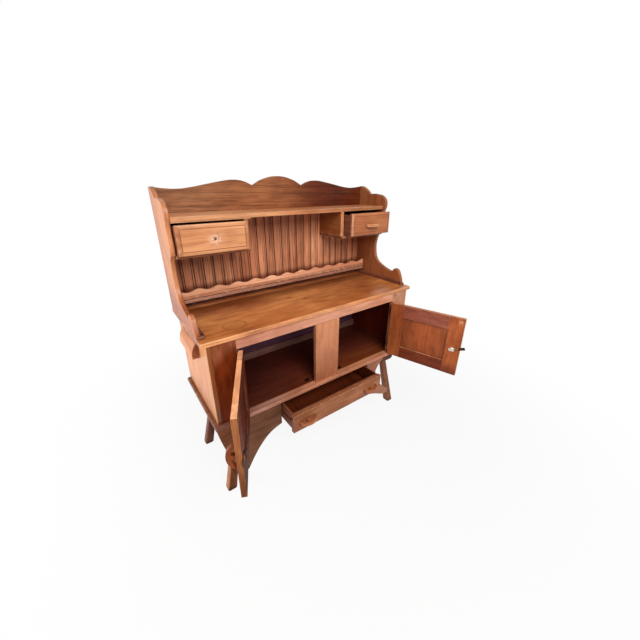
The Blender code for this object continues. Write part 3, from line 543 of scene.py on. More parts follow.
@dataclass(frozen=True)
class Timber:
    """A stained and lacquered timber finish."""

    slot: str
    pale: Colour
    body: Colour
    dark: Colour
    worn: Colour
    rough: float = 0.38
    coat: float = 0.06
    gloss: float = 0.30
    ring_gap: float = 0.013
    wander: float = 0.060
    figure: float = 0.42
    streak: float = 0.34
    fibre: float = 0.20
    cloud: float = 0.85
    mottle: float = 0.45
    # Darker band along a board's edges, partly grime and partly painted shade: its strength and reach.
    edge_grime_shade: float = 0.35
    edge_grime_shade_reach: float = 0.014
    wear: float = 0.55
    reach: float = 0.005
    scuffs: float = 0.30
    end_grain: float = 1.0

    def material(self, name: str, board: Board, zones: Sequence[Zone] = (),
                 features: Sequence[Feature] = ()) -> bpy.types.Material:
        """Make one piece's material.

        Args:
            name: The piece's name.
            board: The piece's own coordinates.
            zones: Parts with a tint of their own, mostly painted light and shade.
            features: Marks of this piece alone, each laid over the colour in turn.

        Returns:
            The material.
        """
        made, graph, shader = open_material(f"{name}_timber")
        place = board.mapping(graph)
        shift = board.shift()
        grain = graph.group(Effect.GRAIN, vector=place, shift=shift, pith=board.pith(),
                            ring_gap=self.ring_gap, wander=self.wander, figure=self.figure,
                            streak=self.streak, fibre=self.fibre, cloud=self.cloud, mottle=self.mottle,
                            pale=self.pale, body=self.body, dark=self.dark)
        colour = grain.outputs["Colour"]
        model = graph.node("ShaderNodeTexCoord")
        for zone in zones:
            colour = zone.lay(graph, model.outputs["Object"], colour)
        ends = graph.math("ABSOLUTE", graph.vector("DOT_PRODUCT", model.outputs["Normal"], board.turn.row[0]))
        colour = graph.stain(graph.rise(ends, 0.80, 0.97, self.end_grain), colour, END_TINT)
        for feature in features:
            colour = feature(graph, place, colour)
        # Darker band along the board's edges: grime, and painted shade.
        border = graph.group(Effect.EDGES, vector=place, half=board.half, reach=self.edge_grime_shade_reach, shift=shift)
        colour = graph.stain(graph.times(border.outputs["Mask"], self.edge_grime_shade), colour, EDGE_GRIME_SHADE_TINT)
        edges = graph.group(Effect.EDGES, vector=place, half=board.half, reach=self.reach, shift=shift)
        colour = graph.mix(graph.times(edges.outputs["Mask"], self.wear), colour, self.worn)
        scuffs = graph.group(Effect.SCUFFS, vector=place, shift=shift, amount=self.scuffs)
        colour = graph.mix(scuffs.outputs["Mask"], colour, self.pale)
        rough = graph.math("MULTIPLY_ADD", grain.outputs["Polish"], 0.20, self.rough - 0.08)
        rough = graph.math("MULTIPLY_ADD", edges.outputs["Mask"], 0.16, rough)
        height = graph.math("ADD", grain.outputs["Relief"], graph.times(scuffs.outputs["Relief"], 1.5))
        graph.bump(shader, height, 0.35, 0.0004)
        graph.fill(shader, base_color=colour, roughness=rough, coat_weight=self.coat, coat_roughness=0.25)
        graph.feed(shader.inputs["Specular IOR Level"], self.gloss)
        return made


@dataclass(frozen=True)
class Metal:
    """A plain metal finish with fine brushing."""

    slot: str
    bright: Colour
    dull: Colour
    rough: float

    def material(self, name: str, board: Board, features: Sequence[Feature] = ()) -> bpy.types.Material:
        """Make one piece's material, with marks of this piece alone laid over its colour.

        Args:
            name: The piece's name.
            board: The piece's own coordinates.
            features: Marks of this piece alone, each laid over the colour in turn.

        Returns:
            The material.
        """
        made, graph, shader = open_material(f"{name}_metal")
        place = board.mapping(graph)
        brush = graph.group(Effect.BRUSH, vector=place, bright=self.bright, dull=self.dull)
        colour = brush.outputs["Colour"]
        for feature in features:
            colour = feature(graph, place, colour)
        rough = graph.math("MULTIPLY_ADD", brush.outputs["Polish"], 0.25, self.rough - 0.1)
        graph.fill(shader, base_color=colour, metallic=1.0, roughness=rough)
        graph.bump(shader, brush.outputs["Relief"], 0.25, 0.0002)
        return made


HONEY = Timber("honey_wood", tone(214, 146, 98), tone(192, 120, 74), tone(120, 60, 32), tone(226, 168, 120),
               figure=0.28, streak=0.24)
FRAME = replace(HONEY, wear=0.14, reach=0.003, streak=0.14, figure=0.12, fibre=0.30)
GOLDEN = Timber("golden_top", tone(224, 146, 80), tone(188, 108, 54), tone(108, 52, 24), tone(232, 170, 114),
                rough=0.34, coat=0.14, gloss=0.4, figure=0.18, streak=0.30, fibre=0.16, cloud=1.0,
                scuffs=0.55, mottle=0.6)
PALE = Timber("pale_wood", tone(226, 164, 116), tone(206, 138, 90), tone(146, 82, 46), tone(232, 182, 140),
              streak=0.30, figure=0.20, fibre=0.28, wear=0.35)
ROSY = replace(PALE, pale=tone(206, 144, 106), body=tone(188, 122, 84), dark=tone(136, 78, 48),
               worn=tone(222, 168, 132))
BLUSH = replace(PALE, pale=tone(244, 190, 156), body=tone(228, 164, 126), mottle=0.3)
# A darker copy of PALE: painted shade on the right small drawer's front, and the colour of the bottom
# drawer's pulls.
AMBER = replace(PALE, pale=tone(200, 126, 78), body=tone(176, 102, 60), dark=tone(112, 58, 30),
                worn=tone(212, 146, 100))
SCRAPED = replace(PALE, pale=tone(190, 134, 108), body=tone(166, 112, 90), dark=tone(110, 66, 50),
                  worn=tone(218, 176, 154), wear=0.7, reach=0.006, scuffs=0.8)
TAN = replace(PALE, pale=tone(176, 114, 76), body=tone(154, 94, 60), dark=tone(104, 56, 32),
              worn=tone(196, 136, 98))
BROWN = Timber("brown_wood", tone(168, 106, 66), tone(144, 84, 50), tone(62, 30, 16), tone(184, 120, 82),
               figure=0.14, streak=0.34, fibre=0.60, wear=0.35, mottle=0.6, edge_grime_shade=0.5, gloss=0.15)
BEADED = replace(BROWN, pale=tone(232, 166, 126), body=tone(216, 144, 104), figure=0.2, streak=0.4, wear=0.0,
                 edge_grime_shade=0.0, mottle=0.35)
# A darker copy of HONEY: painted shade on the left valance.
HONEY_IN_SHADE = replace(HONEY, pale=tone(150, 95, 62), body=tone(126, 75, 49), dark=tone(80, 44, 30),
                 worn=tone(140, 96, 74), gloss=0.06, coat=0.0, mottle=0.7)
RUSSET = Timber("russet_wood", tone(176, 96, 56), tone(150, 76, 40), tone(92, 38, 20), tone(190, 118, 82),
                wear=0.1, figure=0.22, streak=0.4, gloss=0.12)
WALNUT = Timber("walnut_wood", tone(146, 92, 62), tone(120, 72, 48), tone(68, 37, 24), tone(166, 110, 78),
                gloss=0.10, wear=0.15)
# A lighter copy of WALNUT: painted light on the left front leg, and the colour of the left door's handle.
CHESTNUT = replace(WALNUT, pale=tone(176, 118, 74), body=tone(148, 92, 54), dark=tone(94, 52, 28))
RUDDY = replace(BROWN, pale=tone(132, 74, 52), body=tone(108, 58, 40), dark=tone(58, 28, 18),
                worn=tone(160, 100, 74))
SHADE = Timber("shaded_wood", tone(140, 84, 64), tone(122, 70, 52), tone(74, 38, 27), tone(166, 112, 84),
               rough=0.55, coat=0.0, gloss=0.08)
NICKEL = Metal("nickel", tone(232, 224, 212), tone(178, 162, 146), 0.24)
STEEL = Metal("hinge_steel", tone(172, 166, 158), tone(104, 92, 80), 0.38)
BLACKENED = Metal("hinge_steel", tone(74, 66, 62), tone(38, 32, 30), 0.45)
# Dark, dull metal of the left door's latch: tarnish with painted shade.
TARNISH_AND_SHADE = Metal("hinge_steel", tone(60, 48, 43), tone(34, 27, 25), 0.85)
DULL = Metal("hinge_steel", tone(126, 104, 88), tone(78, 58, 46), 0.70)
MOTTLE_TINT = (0.60, 0.52, 0.46)
END_TINT = (0.50, 0.42, 0.38)
# Colour of the edge band: grime and painted shade.
EDGE_GRIME_SHADE_TINT = (0.52, 0.42, 0.38)
# Painted shade inside the cupboard.
INSIDE_SHADE_TINT = (0.135, 0.062, 0.085)
# Deeper stain with painted shade on the right door's back.
INNER_DOOR_STAIN_AND_SHADE = (0.60, 0.37, 0.26)
# Deeper stain with deep painted shade on the left door's back.
SHELTERED_DOOR_STAIN_AND_SHADE = (0.20, 0.11, 0.13)
# Painted shade on the right end panel's inner face, inside the cupboard.
RED_SIDE_SHADE_TINT = (0.26, 0.07, 0.045)
# Painted bluish reflection on the base back's inner face.
LINING_REFLECTION_TINT = (0.76, 0.96, 2.45)
# Painted shade inside the drawer trays.
TRAY_HOLLOW_SHADE = (0.46, 0.25, 0.11)
TRAY_ARRIS = 0.0008
PULL_ROUND = 0.0026


def whole(tint: Colour) -> Zone:
    """Give a zone that covers a piece from front to back."""
    return Zone(AXIS_Y, -2.0, -1.9, tint)


def light_by_facing(direction: Vector, tint: Colour) -> Feature:
    """Give the mark that paints light or shade on the faces that look one way.

    Args:
        direction: The way they look, in the model frame.
        tint: Colour to multiply in.

    Returns:
        The mark, to lay over a piece's colour.
    """
    def lay(graph: Graph, place: Socket, colour: Socket) -> Socket:
        """Multiply the tint in by each face's own direction."""
        share = graph.rise(graph.vector("DOT_PRODUCT", graph.model("Normal"), direction), 0.45, 0.90)
        return graph.stain(share, colour, tint)
    return lay


class Softener:
    """Eases the arrises of pieces with modifiers and leaves their meshes as they are."""

    FLAT = math.radians(0.6)
    CORNER = math.radians(32.0)
    WELD = 0.00002
    WEIGHT = 60

    def __init__(self) -> None:
        """Build the shading modifier's node group."""
        tree = bpy.data.node_groups.new("even_shading", "GeometryNodeTree")
        tree.interface.new_socket(name="Geometry", in_out="INPUT", socket_type="NodeSocketGeometry")
        tree.interface.new_socket(name="Geometry", in_out="OUTPUT", socket_type="NodeSocketGeometry")
        source = tree.nodes.new("NodeGroupInput")
        smooth = tree.nodes.new("GeometryNodeSetShadeSmooth")
        sink = tree.nodes.new("NodeGroupOutput")
        tree.links.new(source.outputs[0], smooth.inputs["Geometry"])
        tree.links.new(smooth.outputs[0], sink.inputs[0])
        self.shading = tree

    def ease(self, obj: bpy.types.Object, width: float, segments: int = 2) -> None:
        """Round a piece's arrises.

        Args:
            obj: The piece.
            width: How far the round reaches along each face.
            segments: Facets in the round.
        """
        weld = obj.modifiers.new("weld", "WELD")
        weld.merge_threshold = self.WELD
        flat = obj.modifiers.new("flat", "DECIMATE")
        flat.decimate_type = "DISSOLVE"
        flat.angle_limit = self.FLAT
        bevel = obj.modifiers.new("arris", "BEVEL")
        bevel.width = width
        bevel.segments = segments
        bevel.limit_method = "ANGLE"
        bevel.angle_limit = self.CORNER
        bevel.use_clamp_overlap = True
        shading = obj.modifiers.new("shading", "NODES")
        shading.node_group = self.shading
        normals = obj.modifiers.new("normals", "WEIGHTED_NORMAL")
        normals.keep_sharp = False
        normals.weight = self.WEIGHT


SOFTENER = Softener()


class Dresser:
    """Gives carried-over pieces and new trim their finish, and counts the boards."""

    def __init__(self) -> None:
        """Start with no boards."""
        self.count = 0

    def timber(self, obj: bpy.types.Object, finish: Timber, grain: Vector, face: Vector,
               zones: Sequence[Zone] = (), features: Sequence[Feature] = ()) -> None:
        """Dress a piece in timber.

        Args:
            obj: The piece.
            finish: The finish.
            grain: Direction along the grain.
            face: Direction out of the face.
            zones: Parts with a tint of their own, mostly painted light and shade.
            features: Marks of this piece alone, each laid over the colour in turn.
        """
        self.count += 1
        self.hang(obj, finish.material(obj.name, Board.of(obj, grain, face, self.count), zones, features))
        LOG.info("dressed %s in %s", obj.name, finish.slot)

    def metal(self, obj: bpy.types.Object, finish: Metal, along: Vector, face: Vector,
              features: Sequence[Feature] = ()) -> None:
        """Dress a piece in metal.

        Args:
            obj: The piece.
            finish: The finish.
            along: Direction along the brushing.
            face: Direction out of the face.
            features: Marks of this piece alone, each laid over the colour in turn.
        """
        self.count += 1
        self.hang(obj, finish.material(obj.name, Board.of(obj, along, face, self.count), features))
        LOG.info("dressed %s in %s", obj.name, finish.slot)

    @staticmethod
    def hang(obj: bpy.types.Object, material: bpy.types.Material) -> None:
        """Put a material in a piece's only slot.

        Args:
            obj: The piece.
            material: The material.
        """
        if not obj.material_slots:
            obj.data.materials.append(material)
        for slot in obj.material_slots:
            slot.material = material

    def node(self, name: str, finish: Timber, grain: Vector, face: Vector, ease: float,
             zones: Sequence[Zone] = (), features: Sequence[Feature] = (), segments: int = 2) -> None:
        """Dress one of the frame's timber pieces and ease its arrises.

        Args:
            name: The piece's name.
            finish: The finish.
            grain: Direction along the grain.
            face: Direction out of the face.
            ease: How far the round of its arrises reaches.
            zones: Parts with a tint of their own, mostly painted light and shade.
            features: Marks of this piece alone, each laid over the colour in turn.
            segments: Facets in that round.
        """
        obj = frame["nodes"][name]
        self.timber(obj, finish, grain, face, zones, features)
        SOFTENER.ease(obj, ease, segments)


DRESSER = Dresser()


class Bench:
    """Makes the meshes of new trim."""

    WELD = 0.000005
    SHARP = math.radians(38.0)

    @classmethod
    def finish(cls, name: str, bm: bmesh.types.BMesh, body: str, slot: str) -> bpy.types.Object:
        """Turn a mesh in hand into a piece that rides on a body.

        Args:
            name: The piece's name.
            bm: The mesh in hand.
            body: The body it rides on.
            slot: The record's slot for its finish; not used.

        Returns:
            The piece.
        """
        bmesh.ops.remove_doubles(bm, verts=bm.verts, dist=cls.WELD)
        bmesh.ops.recalc_face_normals(bm, faces=bm.faces)
        mesh = bpy.data.meshes.new(name)
        bm.to_mesh(mesh)
        bm.free()
        mesh.shade_smooth()
        mesh.set_sharp_from_angle(angle=cls.SHARP)
        obj = bpy.data.objects.new(name, mesh)
        bpy.context.scene.collection.objects.link(obj)
        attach(obj, body)
        LOG.info("made %s on %s", name, body)
        return obj

    @staticmethod
    def loft(bm: bmesh.types.BMesh, rings: Sequence[Sequence[Vector]]) -> None:
        """Skin a row of closed rings and cap both ends.

        Args:
            bm: The mesh in hand.
            rings: Rings with the same number of points, in order.
        """
        rows = [[bm.verts.new(spot) for spot in ring] for ring in rings]
        count = len(rows[0])
        for first, second in zip(rows, rows[1:]):
            for i in range(count):
                bm.faces.new((first[i], first[(i + 1) % count], second[(i + 1) % count], second[i]))
        bm.faces.new(list(reversed(rows[0])))
        bm.faces.new(rows[-1])

    @classmethod
    def turned(cls, bm: bmesh.types.BMesh, profile: Sequence[tuple[float, float]], place: Matrix,
               steps: int = 24) -> None:
        """Add a turned form from (radius, height) points, with its ends capped."""
        angles = [math.tau * step / steps for step in range(steps)]
        cls.loft(bm, [[place @ Vector((radius * math.cos(angle), radius * math.sin(angle), height))
                       for angle in angles] for radius, height in profile])


def rounded(half_u: float, half_v: float, radius: float, steps: int = 4) -> list[tuple[float, float]]:
    """List the outline of a rectangle with round corners.

    Args:
        half_u: Half its width.
        half_v: Half its height.
        radius: Radius of its corners.
        steps: Facets in each corner.

    Returns:
        Points in order round it.
    """
    outline = []
    for quarter, (sign_u, sign_v) in enumerate(((1, 1), (-1, 1), (-1, -1), (1, -1))):
        for step in range(steps + 1):
            angle = math.pi / 2 * (quarter + step / steps)
            outline.append((sign_u * (half_u - radius) + radius * math.cos(angle),
                            sign_v * (half_v - radius) + radius * math.sin(angle)))
    return outline


def standing(place: Vector, out: Vector) -> Matrix:
    """Give the place of a turned form that stands on a face, along its outward direction."""
    return Matrix.Translation(place) @ out.to_track_quat("Z", "Y").to_matrix().to_4x4()


@dataclass
class BaseCupboard:
    """The cupboard under the worktop, with its face frame and end grips."""

    joint: float = 0.0006
    top_round: float = 0.0045
    nose_round: float = 0.0055
    frame_back: float = -0.0008
    bench: Vector = field(default_factory=lambda: Vector((0.019165, -0.028274, 0.0)))
    panel_round: float = 0.0038
    grip_round: float = 0.003
    catch_height: float = 0.4465
    catch_spots: tuple[tuple[str, float, float], ...] = (("left", -0.103, 0.0526), ("right", 0.1155, 0.0438))
    prong_path: tuple[tuple[float, float], ...] = (
        (0.0045, 0.0016), (0.0050, 0.0060), (0.0072, 0.0105), (0.0050, 0.0140), (0.0066, 0.0165))
    peg_spot: tuple[float, float, float] = (0.5188, 0.007, 0.8245)
    knots: tuple[tuple[float, float, float], ...] = (
        (-0.0785, 0.262, 0.010), (-0.0132, 0.196, 0.008), (0.4618, 0.0795, 0.009))
    cup_spot: tuple[float, float] = (-0.4556, 0.097)
    cup_rings: tuple[tuple[float, float], ...] = ((0.044, 0.38), (0.050, 0.22))
    nail_inset: float = 0.014
    nail_profile: tuple[tuple[float, float], ...] = (
        (0.0030, 0.0001), (0.0030, 0.0005), (0.0022, 0.0010), (0.0009, 0.0012))
    # Painted light on the front of the cupboard floor, and more of it right of the middle.
    floor_light_tints: tuple[Colour, Colour] = ((1.65, 1.85, 1.40), (1.50, 1.65, 1.15))
    # Painted shade on each end panel's front edge.
    edge_shades: dict[str, Colour] = field(
        default_factory=lambda: {"left": (0.40, 0.27, 0.18), "right": (1.0, 1.0, 1.0)})

    def marks(self, graph: Graph, place: Socket, colour: Socket) -> Socket:
        """Lay the worktop's knots, stains and cup ring over its colour.

        Args:
            graph: The piece's shader graph.
            place: The point on the board.
            colour: The colour so far.

        Returns:
            The colour with this laid over it.
        """
        low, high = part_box("worktop")
        start = self.bench + Vector((0.0, 0.0, high.z)) - (low + high) / 2
        for spot_x, spot_y, radius in self.knots:
            knot = graph.group(Effect.SPOT, vector=place, place=start + Vector((spot_x, spot_y, 0.0)),
                               radius=radius, rim=radius * 0.7, stretch=(0.55, 1.2, 0.0))
            colour = graph.mix(graph.times(knot.outputs["Disc"], 0.72), colour, tone(70, 32, 18))
        stain = graph.rise(graph.noise(place, (3.2, 8.0, 8.0), 4.0), 0.44, 0.66, 0.75)
        colour = graph.stain(stain, colour, (0.66, 0.56, 0.48))
        for radius, share in self.cup_rings:
            ring = graph.group(Effect.SPOT, vector=place, place=start + Vector((*self.cup_spot, 0.0)),
                               radius=radius, rim=0.0065, stretch=(0.9, 1.1, 0.0))
            colour = graph.mix(graph.times(ring.outputs["Ring"], share), colour, tone(104, 50, 20))
        return colour

    @staticmethod
    def dust(graph: Graph, place: Socket, colour: Socket) -> Socket:
        """Lay dull dusty patches over the cupboard floor."""
        patch = graph.rise(graph.noise(place, (7.0, 16.0, 16.0), 5.0), 0.52, 0.72)
        fine = graph.rise(graph.noise(place, (60.0, 120.0, 120.0), 3.0), 0.42, 0.62)
        return graph.mix(graph.times(patch, fine, 0.42), colour, tone(118, 86, 76))

    def cave(self, graph: Graph, place: Socket, colour: Socket) -> Socket:
        """Lay painted shade over the cupboard floor between the end panels, with painted light at the front.

        Args:
            graph: The piece's shader graph.
            place: The point on the board; not used.
            colour: The colour so far.

        Returns:
            The colour with this laid over it.
        """
        left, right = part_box("left_end_panel")[1].x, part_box("right_end_panel")[0].x
        across, depth, _ = graph.split(graph.model("Object"))
        deep = graph.rise(depth, self.frame_back - 0.004, self.frame_back + 0.006)
        off = graph.math("ABSOLUTE", graph.math("SUBTRACT", across, (left + right) / 2))
        between = graph.rise(graph.math("SUBTRACT", (right - left) / 2, off), -0.004, 0.0)
        cave = graph.times(deep, between)
        # Painted shade inside the cupboard, and painted light towards its front.
        colour = graph.stain(cave, colour, INSIDE_SHADE_TINT)
        front = graph.times(cave, graph.fall(depth, 0.02, 0.20))
        bay = graph.math("SUBTRACT", graph.rise(across, 0.0, 0.16), graph.rise(across, 0.40, 0.60))
        for share, tint in zip((front, graph.times(front, bay)), self.floor_light_tints):
            colour = graph.stain(share, colour, tint)
        return colour

    def dress(self) -> None:
        """Finish the frame's own pieces."""
        # Painted shade on the parts of the stiles and top rail that lie inside the cupboard.
        inside = Zone(AXIS_Y, self.frame_back - 0.004, self.frame_back + 0.006, INSIDE_SHADE_TINT)
        low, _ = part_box("worktop")
        # Painted shade towards the worktop's back under the hutch, taken off again behind the line of the
        # ledge's lip, and a painted highlight along its front edge.
        worn = [Zone(AXIS_Y, 0.20, 0.38, (0.38, 0.33, 0.36)), Zone(AXIS_Y, 0.368, 0.384, (2.5, 2.7, 3.1)),
                Zone(-AXIS_Y, -low.y - 0.010, -low.y - 0.002, (1.35, 1.74, 2.55))]
        DRESSER.node("worktop", GOLDEN, AXIS_X, AXIS_Z, self.top_round, worn, [self.marks], segments=4)
        # Painted shadow of the left door on the bottom board's left part, and a painted highlight on its
        # front edge; cave paints shade and light on the cupboard floor.
        near = [Zone(-AXIS_X, 0.05, 0.35, (0.70, 0.72, 0.88)), Zone(-AXIS_X, 0.34, 0.50, (0.55, 0.50, 0.48))]
        nose = Zone(-AXIS_Y, 0.0, 0.004, (1.06, 1.18, 1.70))
        DRESSER.node("bottom_board", replace(HONEY, wear=0.25, gloss=0.15), AXIS_X, AXIS_Z, self.nose_round,
                     [nose, *near], [self.dust, self.cave], segments=4)
        for side, sign in SIDES:
            # Painted shade on the end panels' inner faces and on the left panel's front edge; painted light
            # near the left panel's front and painted shade on its lower part.
            inner = light_by_facing(-sign * AXIS_X, INSIDE_SHADE_TINT if sign < 0 else RED_SIDE_SHADE_TINT)
            edge = light_by_facing(-AXIS_Y, self.edge_shades[side])
            lit = [Zone(-AXIS_Y, -0.06, 0.01, (1.08, 1.30, 1.22)),
                   Zone(-AXIS_Z, -0.58, -0.45, (0.80, 0.80, 0.86))]
            DRESSER.node(f"{side}_end_panel", replace(HONEY, wear=0.12, streak=0.14), AXIS_Z, sign * AXIS_X,
                         self.panel_round, lit if sign < 0 else [], [inner, edge], segments=4)
            DRESSER.node(f"{side}_end_grip", HONEY, AXIS_Y, sign * AXIS_X, self.grip_round, segments=3)
        # Painted light and shade on the stiles: the left door's painted shadow across the left stile, which
        # is also darker all over; painted shade on the centre stile's lower part; a painted pinkish sheen on
        # the right and centre stiles.
        shelter = Zone(Vector((0.7, 0.0, -1.0)), -1.19, -1.12, (0.46, 0.25, 0.11))
        low_part = Zone(-AXIS_Z, -0.76, -0.47, (0.74, 0.66, 0.66))
        for name, finish, stains in (
                ("left", replace(FRAME, gloss=0.05, coat=0.0, mottle=0.8),
                 [shelter, whole((0.53, 0.44, 0.52))]),
                ("right", replace(FRAME, mottle=0.7), [whole((1.02, 1.20, 1.58))]),
                ("center", replace(FRAME, figure=0.05, streak=0.10), [low_part, whole((1.0, 0.99, 1.12))])):
            DRESSER.node(f"{name}_stile", finish, AXIS_Z, -AXIS_Y, self.joint, [*stains, inside])
        # Painted light rising towards the top rail's right end, and a painted pinkish sheen over it.
        bright = Zone(AXIS_X, -0.45, 0.45, (1.34, 1.50, 1.50))
        DRESSER.node("top_rail", FRAME, AXIS_X, -AXIS_Y, self.joint,
                     [whole((0.90, 0.90, 1.32)), bright, inside])
        low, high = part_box("base_back")
        # Painted bluish reflection on the base back's inner face; its batten's face is made lighter and
        # browner.
        back_reflection = Zone(-AXIS_Y, 0.003 - high.y, 0.005 - high.y, LINING_REFLECTION_TINT)
        batten = Zone(-AXIS_Y, -low.y - 0.012, -low.y - 0.004, (1.45, 1.60, 0.90))
        DRESSER.node("base_back", SHADE, AXIS_X, -AXIS_Y, self.joint, [back_reflection, batten])

    def build(self) -> None:
        """Add the door catches, the peg and the back's nails."""
        for name, spot_x, spot_y in self.catch_spots:
            self.catch(name, self.bench + Vector((spot_x, spot_y, self.catch_height)))
        self.peg(self.bench + Vector(self.peg_spot))
        self.nails()

    def catch(self, name: str, foot: Vector) -> None:
        """Make a spring catch on the cupboard floor: a plate with two curled prongs.

        Args:
            name: The catch's side.
            foot: The middle of its plate, on the floor.
        """
        bm = bmesh.new()
        plate = rounded(0.015, 0.007, 0.003)
        Bench.loft(bm, [[foot + Vector((u * s, v * s, z)) for u, v in plate]
                        for s, z in ((1.0, 0.0002), (1.0, 0.0014), (0.93, 0.0018))])
        prong = [Vector((0.0008 * u, 0.0045 * v, 0.0)) for u, v in rounded(1.0, 1.0, 0.4, 2)]
        for hand in (-1, 1):
            Bench.loft(bm, [[foot + Vector((hand * u, 0.0, z)) + corner for corner in prong]
                            for u, z in self.prong_path])
        obj = Bench.finish(f"{name}_floor_catch", bm, "carcass", "hinge_steel")
        DRESSER.metal(obj, BLACKENED, AXIS_X, AXIS_Z)

    def peg(self, place: Vector) -> None:
        """Make the plug over the screw in the right stile.

        Args:
            place: The middle of its foot.
        """
        bm = bmesh.new()
        out = Matrix.Translation(place) @ Matrix.Rotation(math.pi / 2, 4, "X")
        Bench.turned(bm, ((0.0042, 0.0002), (0.0042, 0.0006), (0.0036, 0.0010), (0.0016, 0.0011)), out, 20)
        obj = Bench.finish("right_stile_peg", bm, "carcass", "walnut_wood")
        DRESSER.timber(obj, WALNUT, AXIS_Y, AXIS_Z)

    def nails(self) -> None:
        """Make the rows of nail heads that hold the base back."""
        low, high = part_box("base_back")
        bm = bmesh.new()
        spots = []
        for step in range(9):
            across = low.x + 0.03 + (high.x - low.x - 0.06) * step / 8
            spots += [(across, low.z + self.nail_inset), (across, high.z - self.nail_inset)]
        for step in range(1, 4):
            up = low.z + (high.z - low.z) * step / 4
            spots += [(low.x + 0.012, up), (high.x - 0.012, up)]
        for across, up in spots:
            place = Matrix.Translation((across, high.y, up)) @ Matrix.Rotation(-math.pi / 2, 4, "X")
            Bench.turned(bm, self.nail_profile, place, 12)
        obj = Bench.finish("back_nails", bm, "carcass", "hinge_steel")
        DRESSER.metal(obj, BLACKENED, AXIS_X, AXIS_Y)


@dataclass
class Underframe:
    """Cleats, legs, valance wings and drawer hangers under the bottom board."""

    arris: float = 0.0018
    leg_round: float = 0.0022
    hanger_arris: float = 0.0008

    def dress(self) -> None:
        """Finish the frame's own pieces."""
        # Painted shade: every leg darker at its foot, the left valance darker towards its inner end, the left
        # front leg darker on its front face, and the left rear leg darker all over.
        foot = Zone(-AXIS_Z, -0.03, 0.0, (0.5, 0.42, 0.40))
        behind = Zone(AXIS_X, -0.56, -0.44, (0.60, 0.66, 0.78))
        front = light_by_facing(-AXIS_Y, (0.37, 0.25, 0.14))
        for side, sign in SIDES:
            left = sign < 0
            DRESSER.node(f"{side}_leg_cleat", WALNUT, AXIS_Y, -AXIS_Z, self.arris)
            DRESSER.node(f"{side}_front_leg", CHESTNUT if left else WALNUT, AXIS_Z, -AXIS_Y, self.leg_round,
                         [foot], [front] if left else [])
            DRESSER.node(f"{side}_rear_leg", WALNUT, AXIS_Z, -AXIS_Y, self.leg_round,
                         [foot, whole((0.76, 0.68, 0.78))] if left else [foot])
            DRESSER.node(f"{side}_valance", HONEY_IN_SHADE if left else TAN, AXIS_X, -AXIS_Y, self.arris,
                         [behind] if left else [])
            DRESSER.node(f"{side}_drawer_hanger", SHADE, AXIS_Y, sign * AXIS_X, self.hanger_arris)


